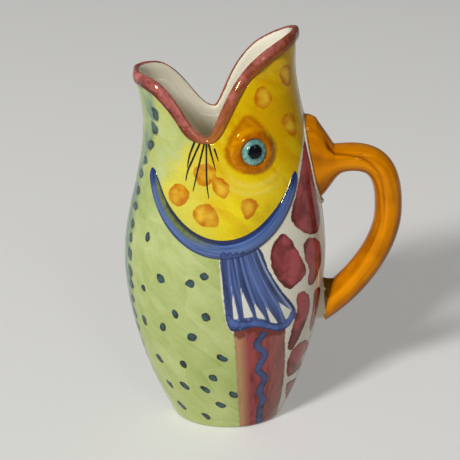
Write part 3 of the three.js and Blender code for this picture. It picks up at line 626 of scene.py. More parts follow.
def sweep_paths(name, paths, swells, closed, **inputs):
    """A plain mesh swept by Geometry Nodes along paths in millimetres."""
    mesh, points, edges = bpy.data.meshes.new(name), [], []
    for path in paths:
        start, count = len(points), len(path)
        points += (np.array(path) * 0.001).tolist()
        edges += [(start + i, start + (i + 1) % count) for i in range(count if closed else count - 1)]
    mesh.from_pydata(points, edges, [])
    mesh.attributes.new("swell", "FLOAT", "POINT").data.foreach_set("value", np.concatenate(swells))
    piece = bpy.data.objects.new(name, mesh)
    bpy.context.scene.collection.objects.link(piece)
    modifier = piece.modifiers.new("sweep", "NODES")
    modifier.node_group = stroke_tree
    for item in stroke_tree.interface.items_tree:
        if item.name in inputs:
            modifier[item.identifier] = inputs[item.name]
    made = bpy.data.meshes.new_from_object(piece.evaluated_get(bpy.context.evaluated_depsgraph_get()))
    piece.modifiers.clear()
    piece.data = made
    return piece


# Black underglaze: a soft blue-black that thins to grey-brown where the brush ran dry.
liner, tree, place = blank_material("black_underglaze_clear_glaze")
dry = add(tree, "TexNoise", {"Vector": place, "Scale": 1 / 0.004, "Detail": 2.0})
ink = add(tree, "Mix", {0: dry, 6: colour("#14161A"), 7: colour("#26251F")}, data_type="RGBA")
clear_glaze(tree, ink)

whisker_paths, whisker_swells = [], []
for which in (-1, 1):
    for stroke in WHISKERS:
        route = smooth_loop(stroke, closed=False, steps=12)
        sunk = np.full(len(route), -WHISKER_SUNK)
        whisker_paths.append(on_flank(which, route[:, 0], route[:, 1], sunk))
        run = np.linspace(0, 1, len(route))
        whisker_swells.append(0.9 + 0.3 * np.sin(np.pi * run**0.7) - 0.2 * run)
whiskers = sweep_paths("painted_whiskers", whisker_paths, whisker_swells, False, Glaze=liner,
                       Radius=WHISKER_RADIUS * 0.001, Points=WHISKER_POINTS, Sides=WHISKER_SIDES)
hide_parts("body_shell")
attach(whiskers, "root")


# Lip: a rounded bead of clay along the whole edge of the mouth, thinner in its corners.
# Earthenware, rolled on and smoothed by hand, brushed maroon outside and over the crest, cream inside.
LIP_PROUD, LIP_SIDE, LIP_OVERLAP, LIP_LAP, LIP_UNEVEN = 1.2, 0.3, 2.5, 0.05, 0.2
LIP_SECTION = 26

lumps = LIP_UNEVEN * (np.sin(7 * angles) + np.sin(13 * angles + 1.3) + np.sin(19 * angles + 0.4))
tall = crest - seat + 0.4 * lumps
lip_rows, lip_across = [], np.linspace(0, 1, LIP_SECTION).tolist()
for turned in lip_across:
    bend = math.pi * turned
    proud = (LIP_PROUD + WALL + LIP_LAP + lumps) * 0.5 * (1 - math.cos(bend))
    raised = seat + tall * (LIP_SIDE + (1 - LIP_SIDE) * math.sin(bend))
    lip_rows.append(wall(angles, raised, proud - WALL - LIP_LAP))
# The bead's outer side curls in to its seat, and its underside overlaps the inner edge of the wall.
for lift, grow in ((0.16, LIP_PROUD * 0.95), (0.07, LIP_PROUD * 0.75), (0.02, LIP_PROUD * 0.4),
                   (-0.02, -0.6)):
    lip_rows.append(wall(angles, seat + tall * lift, grow + lumps * (grow > 0)))
    lip_across.append(1.1)
for lift, grow in ((-0.6, -1.5), (-LIP_OVERLAP, 1 - WALL), (-LIP_OVERLAP - 1, 0.2 - WALL),
                   (-LIP_OVERLAP, -WALL - 0.03), (0.2 - LIP_OVERLAP, -WALL - 0.03), (0.5, -WALL - 0.04)):
    lip_rows.append(wall(angles, seat + lift, grow))
    lip_across.append(0)
lip_rows = np.array(lip_rows).transpose(1, 0, 2)
lip = clay("lip_bead", lip_rows, ring=True)
lay_on(lip, "across", np.broadcast_to(lip_across, lip_rows.shape[:2]))
lay_on(lip, "corner", np.broadcast_to(np.exp(-((from_corner / 0.2) ** 2))[:, None], lip_rows.shape[:2]))
lay_on(lip, "snout", np.broadcast_to((rim_x > CORNER_X)[:, None] * 1.0, lip_rows.shape[:2]))

# Brushed maroon under clear glaze: rosy where thin on the crest, almost brown-black towards the bead's lower
# edge.
LIP_FIELDS = ("across", "corner", "snout")
maroon, tree, place, across, corner, snout = blank_material("maroon_underglaze_clear_glaze", *LIP_FIELDS)
blots = add(tree, "TexNoise", {"Vector": place, "Scale": 1 / 0.012, "Detail": 3.0, "Distortion": 0.6})
fine = add(tree, "TexNoise", {"Vector": place, "Scale": 1 / 0.0025, "Detail": 2.0})
tone = add(tree, "Math", [fine, 0.45, blots], operation="MULTIPLY_ADD")
tone = add(tree, "Math", [snout, 0.13, tone], operation="MULTIPLY_ADD")
tone = add(tree, "MapRange", [tone, 0.58, 1.05])
low_edge = add(tree, "MapRange", [across, 0.8, 1.05, 0.0, 0.7])
tone = add(tree, "Math", [tone, low_edge], operation="ADD", use_clamp=True)
rose = add(tree, "Mix", {0: tone, 6: colour("#CA766E"), 7: colour("#681420")}, data_type="RGBA")
rust = add(tree, "Math", [low_edge, 0.35], operation="ADD")
rust = add(tree, "Math", [snout, rust], operation="MULTIPLY")
rust = add(tree, "Math", [corner, rust], operation="ADD")
rust = add(tree, "Math", [rust, blots], operation="MULTIPLY", use_clamp=True)
rose = add(tree, "Mix", {0: rust, 6: rose, 7: colour("#B06A28")}, data_type="RGBA")
# The brush lapped further over the crest on the right side of the snout.
lapped = add(tree, "SeparateXYZ", [place], out="Y")
lapped = add(tree, "MapRange", [lapped, -0.005, 0.005, 0.0, 0.07])
lapped = add(tree, "Math", [lapped, snout], operation="MULTIPLY")
edge = add(tree, "Math", [fine, 0.08, across], operation="MULTIPLY_ADD")
edge = add(tree, "Math", [edge, lapped], operation="ADD")
edge = add(tree, "MapRange", [edge, 0.34, 0.37])
rim_coat = add(tree, "Mix", {0: edge, 6: colour("#FAF3DE"), 7: rose}, data_type="RGBA")
gloss = add(tree, "MapRange", [blots, 0.3, 0.7, 0.06, 0.14])
clear_glaze(tree, rim_coat, Roughness=gloss)
lip.data.materials.append(maroon)
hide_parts("lip_coil")
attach(lip, "root")


# Gill ridges: a raised crescent under each cheek, widest below and running out to rounded tips.
# A roll of clay pressed on and blended in, brushed blue with navy edges where the colour gathered.
GILL_SPREAD, GILL_INNER_SPREAD = 83, 70
GILL_RISE, GILL_TIP_TAPER, GILL_TIP_FADE, GILL_TIP_ROUND = 2.6, 0.08, 0.9, 0.03
FIN_TIPS, FIN_TIP_STEP, FIN_TIP_RISE = (-2.2, 22.6, 142.3), 4.1, 0.9
GILL_SLOPE, GILL_SLOPE_PLACE, GILL_SLOPE_WIDTH = 1.8, 0.06, 0.07
GILL_STEPS, GILL_ACROSS, GILL_SUNK = 150, 20, 2.2
SIDES = (("left", -1), ("right", 1))

GILL_FIELDS = ("across", "along", "fin_tips")
ridge_blue, tree, place, across, along, tips = blank_material("blue_underglaze_clear_glaze", *GILL_FIELDS)
# Brush hairs run along the ridge: streaks an eleventh of its width and 25 mm long.
hairs = add(tree, "CombineXYZ", [across, along])
hairs = add(tree, "Mapping", {"Vector": hairs, "Scale": (11, 6, 1)})
hairs = add(tree, "TexNoise", {"Vector": hairs, "Scale": 1.0, "Detail": 3.0})
fine = add(tree, "TexNoise", {"Vector": place, "Scale": 1 / 0.003, "Detail": 2.0})
inner_edge = add(tree, "MapRange", [across, 0.2, 0.04])
outer_edge = add(tree, "MapRange", [across, 0.76, 0.95, 0.0, 0.8])
tone = add(tree, "Math", [inner_edge, outer_edge], operation="MAXIMUM")
tip = add(tree, "Math", [along, 0.5], operation="SUBTRACT")
tip = add(tree, "Math", [tip], operation="ABSOLUTE")
tip = add(tree, "MapRange", [tip, 0.42, 0.48])
tone = add(tree, "Math", [tone, tip], operation="MAXIMUM")
streak = add(tree, "Math", [hairs, 1.6, -0.4], operation="MULTIPLY_ADD")
tone = add(tree, "Math", [tone, streak], operation="ADD", use_clamp=True)
blue = add(tree, "Mix", {0: tone, 6: colour("#6583BC"), 7: colour("#22397A")}, data_type="RGBA")
# An olive band on the ridge's inner slope towards the throat: green paint together with painted shade on that
# slope.
olive_and_painted_shade = add(tree, "MapRange", [across, 0.48, 0.3])
throat_end = add(tree, "MapRange", [along, 0.5, 0.3])
olive_and_painted_shade = add(tree, "Math", [olive_and_painted_shade, throat_end], operation="MULTIPLY")
olive_and_painted_shade = add(tree, "Math", [olive_and_painted_shade, tip], operation="SUBTRACT", use_clamp=True)
olive_shade_colours = add(tree, "Mix", {0: fine, 6: colour("#8C9556"), 7: colour("#4C5A3E")}, data_type="RGBA")
blue = add(tree, "Mix", {0: olive_and_painted_shade, 6: blue, 7: olive_shade_colours}, data_type="RGBA")
line = add(tree, "MapRange", [across, 0.14, 0.07, 0.0, 0.85])
blue = add(tree, "Mix", {0: line, 6: blue, 7: colour("#20305A")}, data_type="RGBA")
# The fin's strokes start on the lower half of the ridge, each with a round, dark tip.
upright = add(tree, "Mapping", {"Vector": place, "Scale": (1, 1, 0.08)})
upright = add(tree, "TexNoise", {"Vector": upright, "Scale": 1 / 0.0022, "Detail": 2.0})
blue = add(tree, "Group", {"Ground": blue, "Edge": tips, "Thin": colour("#3E5AA2"),
           "Pooled": colour("#1A2E66"), "Pool width": 2.2, "Softness": 0.3, "Streak": upright,
           "Wander": 1.0}, node_tree=brushed)
clear_glaze(tree, blue)

for side_name, which in SIDES:
    ridge_share = np.linspace(0.001, 0.999, GILL_STEPS)
    lean = np.radians((2 * ridge_share - 1) * GILL_INNER_SPREAD)
    inner_x = GILL_X + GILL_INNER_LENGTH * np.sin(lean)
    inner = np.stack([inner_x, GILL_INNER_HEIGHT - GILL_INNER_DROP * np.cos(lean)], -1)
    lean = np.radians((2 * ridge_share - 1) * GILL_SPREAD)
    rim = np.stack([GILL_X + GILL_HALF_LENGTH * np.sin(lean), GILL_HEIGHT - GILL_DROP * np.cos(lean)], -1)
    swell = np.sin(np.pi * ridge_share)
    rim = inner + (rim - inner) * (swell**GILL_TIP_TAPER)[:, None]
    slope = GILL_SLOPE * np.exp(-(((ridge_share - GILL_SLOPE_PLACE) / GILL_SLOPE_WIDTH) ** 2))
    inner = inner + unit(inner - rim) * slope[:, None]
    from_tip = np.clip(np.minimum(ridge_share, 1 - ridge_share) / GILL_TIP_ROUND, 0, 1)
    trim = (rim - inner) / 2 * (1 - np.sqrt(1 - (1 - from_tip) ** 2))[:, None]
    inner, rim = inner + trim, rim - trim
    stops = np.linspace(-0.04, 1.04, GILL_ACROSS)
    flat = inner[:, None] + (rim - inner)[:, None] * stops[None, :, None]
    dome = np.sin(np.pi * np.clip(stops, 0, 1) ** 0.95) ** 0.6
    lift = GILL_RISE * (swell**GILL_TIP_FADE)[:, None] * dome
    dished = DISH_DEPTH * 0.8 * smoothstep(flat[:, :1, 1], DISH_TOP, DISH_LOW)
    lift = lift + np.where(stops < 0.1, -dished, 0.1) * (swell[:, None] ** 0.5)
    lift = np.where((stops < 0) | (stops > 1), -GILL_SUNK, lift)
    top = on_flank(which, flat[..., 0], flat[..., 1], lift)
    under = on_flank(which, flat[:, ::-1, 0], flat[:, ::-1, 1], np.full(flat.shape[:2], -GILL_SUNK - 0.6))
    ridge = clay(f"{side_name}_gill_ridge_clay", np.concatenate([top, under], 1))
    whole = (GILL_STEPS, 2 * GILL_ACROSS)
    lay_on(ridge, "across", np.broadcast_to(np.concatenate([stops, stops[::-1]]), whole))
    lay_on(ridge, "along", np.broadcast_to(ridge_share[:, None], whole))
    ridge_x, ridge_z = np.moveaxis(np.concatenate([flat, flat[:, ::-1]], 1), -1, 0)
    tip_line = FIN_TIPS[2] + FIN_TIP_RISE * np.cos(2 * np.pi * (ridge_x - FIN_TIPS[0] - 2) / FIN_TIP_STEP)
    from_tips = [ridge_z - tip_line, FIN_TIPS[0] - ridge_x, ridge_x - FIN_TIPS[1]]
    lay_on(ridge, "fin_tips", np.maximum.reduce(from_tips))
    ridge.data.materials.append(ridge_blue)
    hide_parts(f"{side_name}_gill_ridge")
    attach(ridge, "root")


# Eye sockets: a raised, rounded ring of clay round each eye, like heavy eyelids that melt into the cheek.
# A coil pressed on and smoothed, brushed orange that runs brown towards the ball.
EYE_HALF_LENGTH, EYE_HALF_HEIGHT = 8, 8.9
SOCKET_BAND, SOCKET_RISE = 7.8, 4.0
SOCKET_STEPS, SOCKET_ACROSS = 96, 20

lid_orange, tree, place, across, patch = blank_material("orange_underglaze_clear_glaze", "across", "patch")
blots = add(tree, "TexNoise", {"Vector": place, "Scale": 1 / 0.006, "Detail": 3.0, "Distortion": 0.6})
wash = add(tree, "TexNoise", {"Vector": place, "Scale": 1 / 0.030, "Detail": 2.0})
sun = add(tree, "Mix", {0: wash, 6: colour("#F4DA0C"), 7: colour("#DEAE00")}, data_type="RGBA")
amber = add(tree, "Group", {"Ground": sun, "Edge": patch, "Thin": colour("#D89200"),
            "Pooled": colour("#BA6A00"), "Pool width": 4.0, "Softness": 1.8, "Streak": blots,
            "Wander": 3.0}, node_tree=brushed)
near_ball = add(tree, "MapRange", [across, 0.85, 0.2, 0.0, 0.7])
tone = add(tree, "Math", [blots, near_ball], operation="ADD")
tone = add(tree, "MapRange", [tone, 0.55, 1.3])
amber = add(tree, "Mix", {0: tone, 6: amber, 7: colour("#A85600")}, data_type="RGBA")
clear_glaze(tree, amber, mirrored="#FFC468")

round_eye = np.linspace(0, 2 * np.pi, SOCKET_STEPS, endpoint=False)[:, None]


def round_the_eye(which, outwards, lift):
    """Points on the cheek round the eye, a distance outwards from the ball's edge and lifted."""
    at_x = EYE_X + (EYE_HALF_LENGTH + outwards) * np.cos(round_eye)
    at_height = EYE_HEIGHT + (EYE_HALF_HEIGHT + outwards) * np.sin(round_eye)
    return on_flank(which, at_x, at_height, lift + 0 * round_eye)


for side_name, which in SIDES:
    stops = np.linspace(0, 1, SOCKET_ACROSS)
    lift = SOCKET_RISE * np.sin(np.pi * (0.1 + 0.9 * stops) ** 0.6) ** 1.5 + 0.1
    lift[-1] = -0.5
    top = round_the_eye(which, SOCKET_BAND * stops - 0.6, lift * (0.78 + 0.22 * np.sin(round_eye)))
    under = round_the_eye(which, np.array([SOCKET_BAND - 0.6, -0.6]), np.array([-1.0, -1.0]))
    lid_rows = np.concatenate([top, under], 1)
    socket = clay(f"{side_name}_eye_lid", lid_rows, ring=True)
    lay_on(socket, "patch", outline_distance(lid_rows[..., 0], lid_rows[..., 2], smooth_loop(EYE_PATCH)))
    lay_on(socket, "across", np.broadcast_to(np.append(stops, (1, 0)), (SOCKET_STEPS, SOCKET_ACROSS + 2)))
    socket.data.materials.append(lid_orange)
    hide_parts(f"{side_name}_eye_socket")
    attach(socket, "root")


# Eyeballs: a domed pellet of clay inside each socket, turquoise with a round black pupil.
# Pressed on, painted with two strokes and glazed until it looks wet.
EYE_RISE, PUPIL_SHARE, PUPIL_LIFT = 5.6, 0.52, 0.08
BALL_ROWS, BALL_SEAT, BALL_SUNK = 30, 0.3, 1.0

eye_paint, tree, place, outwards, from_pupil = blank_material(
    "turquoise_underglaze_clear_glaze", "outwards", "from_pupil")
blots = add(tree, "TexNoise", {"Vector": place, "Scale": 1 / 0.0022, "Detail": 3.0})
mottle = add(tree, "MapRange", [blots, 0.36, 0.64])
iris = add(tree, "Mix", {0: mottle, 6: colour("#98C6B8"), 7: colour("#4F8C88")}, data_type="RGBA")
# Dark olive round the ball's edge, in the crease against its lid: painted shade.
olive_and_painted_shade = add(tree, "MapRange", [outwards, 0.86, 1.0, 0.0, 0.7])
iris = add(tree, "Mix", {0: olive_and_painted_shade, 6: iris, 7: colour("#6C6A34")}, data_type="RGBA")
edge = add(tree, "Math", [blots, 0.22, from_pupil], operation="MULTIPLY_ADD")
halo = add(tree, "MapRange", [edge, PUPIL_SHARE + 0.34, PUPIL_SHARE + 0.12, 0.0, 0.6])
iris = add(tree, "Mix", {0: halo, 6: iris, 7: colour("#2C5A5E")}, data_type="RGBA")
pupil = add(tree, "MapRange", [edge, PUPIL_SHARE + 0.14, PUPIL_SHARE + 0.07])
eye_colour = add(tree, "Mix", {0: pupil, 6: iris, 7: colour("#0C0E12")}, data_type="RGBA")
pocked = add(tree, "TexNoise", {"Vector": place, "Scale": 1 / 0.0014, "Detail": 1.0})
pocked = add(tree, "Bump", {"Height": pocked, "Strength": 0.5, "Distance": 0.0005})
# The ball's glaze mirrors less than the rest, so that the pupil stays black.
clear_glaze(tree, eye_colour, mirrored="#A4ACAC", Roughness=0.04, Normal=pocked)

tilts = np.arange(BALL_ROWS) / BALL_ROWS * np.pi / 2
reach = np.append(1.0, np.cos(tilts))
lifts = np.append(-BALL_SUNK, BALL_SEAT + EYE_RISE * np.sin(tilts))
ball_x, ball_z = np.outer(reach, np.cos(round_eye)), np.outer(reach, np.sin(round_eye))
for side_name, which in SIDES:
    ball_rows = on_flank(which, EYE_X + EYE_HALF_LENGTH * ball_x, EYE_HEIGHT + EYE_HALF_HEIGHT * ball_z,
                         lifts[:, None] + 0 * ball_x)
    ball = clay(f"{side_name}_eye_pellet", ball_rows)
    lay_on(ball, "outwards", np.repeat(reach, SOCKET_STEPS))
    lay_on(ball, "from_pupil", np.append(np.hypot(ball_x, ball_z - PUPIL_LIFT), (1.0, PUPIL_LIFT)))
    ball.data.materials.append(eye_paint)
    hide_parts(f"{side_name}_eyeball")
    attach(ball, "root")


# Handle: a looped strap from the shoulder to the lower back, with a fin-like flare at its upper root.
# Pulled from a roll of clay, folded along its sides, luted on at both ends and brushed streaky orange.
HANDLE_TOP, HANDLE_ARCH, HANDLE_ELBOW_HEIGHT, HANDLE_REACH, HANDLE_FOOT = 190, 14.5, 154, 50.7, 79
HANDLE_THICKNESS, HANDLE_WIDTH, HANDLE_HEEL = 18.4, 20, 1
ARCH_PULL, ELBOW_PULL, LANDING_PULL, LANDING_LIFT = 0.43, 0.27, 0.7, 0.33
FLARE_RISE, FLARE_RISE_LENGTH, FLARE_SETBACK = 22, 20.5, 7
FLARE_DROP, FLARE_DROP_LENGTH, FLARE_WIDENING, FLARE_FILLET = 22, 15, 3, 0.25
FOLD_DEPTH, FOLD_WIDTH, FOLD_START, FOLD_END = 0.8, 0.11, (7, 13), (98, 62)
FOLD_ALONG, FOLD_TURNS = (10, 20, 33, 41, 52, 63, 95), (50, 63, 80, 96, 105, 111, 105)
PIT_ALONG, PIT_TURN, PIT_DEPTH, PIT_SPREAD, PIT_LENGTH = 10.2, 46, 3.0, 11, 2.3
UPPER_SINK, LOWER_GAP, OVERRUN, UPPER_BLEND, LOWER_BLEND = 2.5, 0.8, 24, 0.22, 0.7
LOWER_END_TURNS, LOWER_END_ALONG = (0, 55, 91, 110, 132, 180), (169, 167.5, 161, 156.4, 150, 143)
HANDLE_STEPS, HANDLE_SIDES = 260, 72
HANDLE_FIELDS, STRAND_RADIUS = ("strand_out", "strand_side", "strand_along", "fold"), 9


def bezier(a, b, c, d):
    """Points along a cubic curve from a to d that b and c pull on."""
    t = np.linspace(0, 1, 400)[:, None]
    s = 1 - t
    return s**3 * a + 3 * s * s * t * b + 3 * s * t * t * c + t**3 * d


root = np.array([float(back_line(HANDLE_TOP)), HANDLE_TOP])
elbow = np.array([root[0] + HANDLE_REACH, HANDLE_ELBOW_HEIGHT])
foot = np.array([float(back_line(HANDLE_FOOT)), HANDLE_FOOT])
turn = np.array([elbow[0], HANDLE_TOP + HANDLE_ARCH])
land = foot + (elbow - foot) * (LANDING_PULL, LANDING_LIFT)
drop = np.array([elbow[0], elbow[1] + (foot[1] - elbow[1]) * ELBOW_PULL])
arch = bezier(root, root + (HANDLE_REACH * ARCH_PULL, 0), turn, elbow)
path = np.concatenate([arch, bezier(elbow, drop, land, foot)[1:]])
reached = np.append(0, np.cumsum(np.linalg.norm(np.diff(path, axis=0), axis=1)))
heading = unit(np.gradient(path, reached, axis=0))
HANDLE_LENGTH = reached[-1]
theta = np.linspace(0, 2 * np.pi, HANDLE_SIDES, endpoint=False)


def back_reach(across, height):
    """How far back the wall reaches at a place across and a height."""
    front, back = -belly_line(height), back_line(height)
    share = np.clip(np.abs(across) / flank_line(height), 0, 1)
    return (front + back) / 2 + (back - front) / 2 * (1 - share**SECTION_POWER) ** (1 / SECTION_POWER)


def handle_skin(along):
    """Points of the handle at lengths along it (rows by sides), and how deep in a fold each lies."""
    centre = np.stack([np.interp(along, reached, path[:, i]) for i in (0, 1)], -1)
    ahead = unit(np.stack([np.interp(along, reached, heading[:, i]) for i in (0, 1)], -1))
    centre = centre + ahead * (np.minimum(along, 0) + np.maximum(along - HANDLE_LENGTH, 0))[..., None]
    upper = along < HANDLE_LENGTH / 2
    grip = HANDLE_THICKNESS / 2 + HANDLE_HEEL * smoothstep(along / HANDLE_LENGTH, 0.5, 0.9)
    fin_rise = FLARE_RISE * (1 - np.clip((along + FLARE_SETBACK) / FLARE_RISE_LENGTH, 0, 1) ** 2) * upper
    left = 1 - along / FLARE_DROP_LENGTH
    flare = 0.5 * (left + np.hypot(left, FLARE_FILLET)) * upper
    reach_out = grip + np.where(np.cos(theta) > 0, fin_rise, FLARE_DROP * flare)
    tall = reach_out * rounded(np.cos(theta))
    tall = tall * (1 + 0.006 * np.sin(along / 11) * np.cos(2 * theta))
    beside = (HANDLE_WIDTH / 2 + FLARE_WIDENING * flare) * rounded(np.sin(theta))
    from_top = np.degrees(np.pi - np.abs(theta - np.pi))
    crease = np.radians(from_top - np.interp(along, FOLD_ALONG, FOLD_TURNS))
    fold = np.exp(-((crease / FOLD_WIDTH) ** 2)) * smoothstep(along, *FOLD_START)
    fold = fold * smoothstep(along, *FOLD_END)
    pit = np.exp(-(((from_top - PIT_TURN) / PIT_SPREAD) ** 2) - ((along - PIT_ALONG) / PIT_LENGTH) ** 2)
    depth = FOLD_DEPTH * fold + PIT_DEPTH * pit
    tall = tall - depth * np.cos(theta)
    beside = beside - depth * np.sin(theta)
    lifted = centre + np.stack([-ahead[..., 1], ahead[..., 0]], -1) * tall[..., None]
    return np.stack([lifted[..., 0], beside, lifted[..., 1]], -1), fold + pit


# Each strand of the handle runs from just inside the wall above to its seam of slip below.
tried = np.linspace(-OVERRUN, HANDLE_LENGTH + OVERRUN, 1600)
probe = handle_skin(np.repeat(tried[:, None], HANDLE_SIDES, 1))[0]
clear = probe[..., 0] - back_reach(probe[..., 1], probe[..., 2])
before = (clear < -UPPER_SINK) & (tried < HANDLE_LENGTH / 2)[:, None]
after = (clear < LOWER_GAP) & (tried > HANDLE_LENGTH / 2)[:, None]
starts = tried[len(tried) - 1 - np.argmax(before[::-1], 0)]
from_outside = np.degrees(np.pi - np.abs(theta - np.pi))
ends = np.minimum(tried[np.argmax(after, 0)], np.interp(from_outside, LOWER_END_TURNS, LOWER_END_ALONG))
run = np.linspace(0, 1, HANDLE_STEPS)[:, None]
along = starts.mean() + (ends.mean() - starts.mean()) * run
along = along + (starts - starts.mean()) * smoothstep(run, UPPER_BLEND, 0)
along = along + (ends - ends.mean()) * smoothstep(run, LOWER_BLEND, 1)
handle_points, folds = handle_skin(along)
end = handle_points[-1]
heel = np.array([heading[-1, 0], 0, heading[-1, 1]])
closing = [end.mean(0) + (end - end.mean(0)) * s + heel * d for s, d in ((0.95, 0.5), (0.88, 0.7))]
handle = clay("looped_handle", np.concatenate([handle_points, closing]))
along = np.concatenate([along, along[-1:] + 1, along[-1:] + 2])
around = STRAND_RADIUS * np.cos(theta) + 0 * along, STRAND_RADIUS * np.sin(theta) + 0 * along
for name, values in zip(HANDLE_FIELDS, (*around, along, folds)):
    lay_on(handle, name, values)

# Brushed orange under clear glaze: long amber and brown streaks along the strap, and painted shade darkening
# the folds.
amber_glaze, tree, place, facing, beside, length, fold_shade = blank_material(
    "streaky_orange_underglaze_clear_glaze", *HANDLE_FIELDS)
strand = add(tree, "CombineXYZ", [facing, beside, length])
# Strand coordinates are millimetres: streaks 4 mm wide and 70 mm long, and finer hairs of 1.2 mm.
streaks = add(tree, "Mapping", {"Vector": strand, "Scale": (1 / 4, 1 / 4, 1 / 70)})
streaks = add(tree, "TexNoise", {"Vector": streaks, "Scale": 1.0, "Detail": 4.0, "Distortion": 0.3})
hairs = add(tree, "Mapping", {"Vector": strand, "Scale": (1 / 1.2, 1 / 1.2, 1 / 30)})
hairs = add(tree, "TexNoise", {"Vector": hairs, "Scale": 1.0, "Detail": 2.0})
blots = add(tree, "TexNoise", {"Vector": place, "Scale": 1 / 0.016, "Detail": 2.0})
tone = add(tree, "Math", [blots, 0.5, streaks], operation="MULTIPLY_ADD")
tone = add(tree, "Math", [hairs, 0.25, tone], operation="MULTIPLY_ADD")
tone = add(tree, "MapRange", [tone, 0.74, 1.42])
# Darker on the inner side of the loop (painted shade), on the flare (brown streaks with painted shade) and,
# below the elbow, on the outer side (colour gathered there, with painted shade).
inner_loop_shade = add(tree, "MapRange", [facing, -2.0, -9.0, 0.0, 0.4])
tone = add(tree, "Math", [tone, inner_loop_shade], operation="ADD")
outer_pooling_and_shade = add(tree, "MapRange", [facing, 1.5, 8.0, 0.0, 0.55])
below = add(tree, "MapRange", [length, 35.0, 85.0])
tone = add(tree, "Math", [outer_pooling_and_shade, below, tone], operation="MULTIPLY_ADD")
flare_streaks_and_shade = add(tree, "MapRange", [length, 20.0, 3.0, 0.0, 0.25])
tone = add(tree, "Math", [flare_streaks_and_shade, tone], operation="ADD")
# Painted shade in the folds and the pit.
tone = add(tree, "Math", [fold_shade, 0.55, tone], operation="MULTIPLY_ADD", use_clamp=True)
orange = add(tree, "Mix", {0: tone, 6: colour("#F09400"), 7: colour("#8A4000")}, data_type="RGBA")
clear_glaze(tree, orange, mirrored="#FFC468")
handle.data.materials.append(amber_glaze)
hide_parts("handle")
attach(handle, "root")


# Luting slip: the soft clay that joins the handle, squeezed out as a bead round the flare and left as a
# thick pad under the lower end. Bare cream earthenware under clear glaze; up under the handle the pad is
# painted dark brown, the brush's orange stain together with painted shade.
BEAD_RADIUS, BEAD_LUMP, BEAD_OUT, BEAD_SUNK, BEAD_POINTS, BEAD_SIDES = 0.9, 1.6, 0.5, 0.2, 160, 12
PAD_SIZE, PAD_SPREAD, PAD_SUNK, PAD_ROWS = 0.91, 0.12, 1.5, 16

slip, tree, place, stain_and_shade = blank_material("cream_slip_clear_glaze", "stain_and_shade")
mottle = add(tree, "TexNoise", {"Vector": place, "Scale": 1 / 0.005, "Detail": 3.0})
bare = add(tree, "Mix", {0: mottle, 6: colour("#E6E0CE"), 7: colour("#CFC5AA")}, data_type="RGBA")
edge = add(tree, "Math", [mottle, 0.5, stain_and_shade], operation="MULTIPLY_ADD")
edge = add(tree, "MapRange", [edge, 0.65, 0.8])
# Dark brown: the brush's orange stain together with painted shade, where the pad lies in the gap under the
# handle.
stain_and_shade_colour = add(tree, "Mix", {0: mottle, 6: colour("#8E5C0A"), 7: colour("#553606")}, data_type="RGBA")
slip_coat = add(tree, "Mix", {0: edge, 6: bare, 7: stain_and_shade_colour}, data_type="RGBA")
clear_glaze(tree, slip_coat)

ring = handle_points[0]
ring_out = unit(ring - ring.mean(0)) * (0.0, 1.0, 1.0)
bead_path = ring + ring_out * BEAD_OUT
bead_path[:, 0] = back_reach(bead_path[:, 1], bead_path[:, 2]) - BEAD_SUNK
bead_swell = 1 + 0.2 * np.sin(5 * theta) + BEAD_LUMP * np.exp(-(((theta - np.pi) / 0.16) ** 2))
bead = sweep_paths("upper_slip_bead", [bead_path], [bead_swell], True, Glaze=slip,
                   Radius=BEAD_RADIUS * 0.001, Points=BEAD_POINTS, Sides=BEAD_SIDES)
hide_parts("upper_luting_slip")
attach(bead, "root")

rim_in = end.mean(0) + (end - end.mean(0)) * PAD_SIZE
on_wall = rim_in.copy()
on_wall[:, 0] = back_reach(rim_in[:, 1], rim_in[:, 2]) - PAD_SUNK
pad_rows, stain_and_shade_rows = [], []
for step in np.linspace(0, 1, PAD_ROWS):
    row = on_wall + (rim_in - heel * PAD_SUNK - on_wall) * step
    pad_rows.append(row.mean(0) + (row - row.mean(0)) * (1 + PAD_SPREAD * (1 - step) ** 3))
    stain_and_shade_rows.append(smoothstep(step + (row[:, 2] - HANDLE_FOOT - 14) / 30, 0.2, 0.7))
pad = clay("lower_slip_pad", pad_rows)
lay_on(pad, "stain_and_shade", np.array(stain_and_shade_rows))
pad.data.materials.append(slip)
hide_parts("lower_luting_slip")
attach(pad, "root")


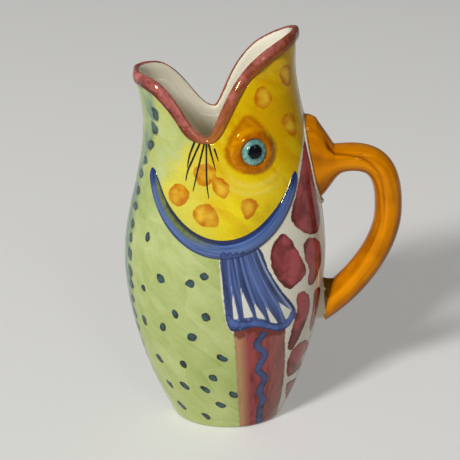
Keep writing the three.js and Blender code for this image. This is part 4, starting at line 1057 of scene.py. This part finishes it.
# Stage: a plain pale floor, a soft key light from the upper left, a weak fill and an even pale surround.
bpy.ops.mesh.primitive_plane_add(size=12, location=(0, 0, 0))
floor = bpy.context.object
floor.name = "floor"
floor_paint, tree = blank_material("matt_studio_floor")[:2]
# Seen straight or mirrored in the glaze, the floor is a little paler than the light alone makes it.
rays = add(tree, "LightPath").node.outputs
seen = add(tree, "Math", [rays["Is Camera Ray"], rays["Is Glossy Ray"]], operation="MAXIMUM")
seen = add(tree, "Math", [seen, rays["Is Transmission Ray"]], operation="MAXIMUM")
paler = add(tree, "Math", [seen, 0.26], operation="MULTIPLY")
floor_shader = add(tree, "BsdfPrincipled", {"Base Color": colour("#DAD9D6"), "Roughness": 0.9,
                   "Emission Color": colour("#F0EFEC"), "Emission Strength": paler})
add(tree, "OutputMaterial", {"Surface": floor_shader})
floor.data.materials.append(floor_paint)

world = bpy.data.worlds.new("studio")
world.use_nodes = True
world.node_tree.nodes["Background"].inputs["Color"].default_value = colour("#E4E4E0")
world.node_tree.nodes["Background"].inputs["Strength"].default_value = 0.15
bpy.context.scene.world = world

LAMPS = (("key", (-2.45, -3.78, 3.29), 0.85, 226), ("fill", (1.48, -3.65, 3.21), 0.9, 13))
for light_name, spot, size, power in LAMPS:
    lamp = bpy.data.lights.new(light_name, "AREA")
    lamp.size, lamp.energy = size, power
    lamp_object = bpy.data.objects.new(light_name, lamp)
    lamp_object.location = spot
    lamp_object.rotation_euler = (Vector((0, 0, 0.13)) - Vector(spot)).to_track_quat("-Z", "Y").to_euler()
    bpy.context.scene.collection.objects.link(lamp_object)

camera = bpy.data.cameras.new("camera")
camera.lens, camera.sensor_width = 96.57, 36
camera_object = bpy.data.objects.new("camera", camera)
camera_object.location = (0.03626, -0.79044, 0.45673)
aim = Vector((0.00175, 0, 0.13707)) - camera_object.location
camera_object.rotation_euler = aim.to_track_quat("-Z", "Y").to_euler()
bpy.context.scene.collection.objects.link(camera_object)
bpy.context.scene.camera = camera_object
bpy.context.scene.view_settings.view_transform = "Standard"
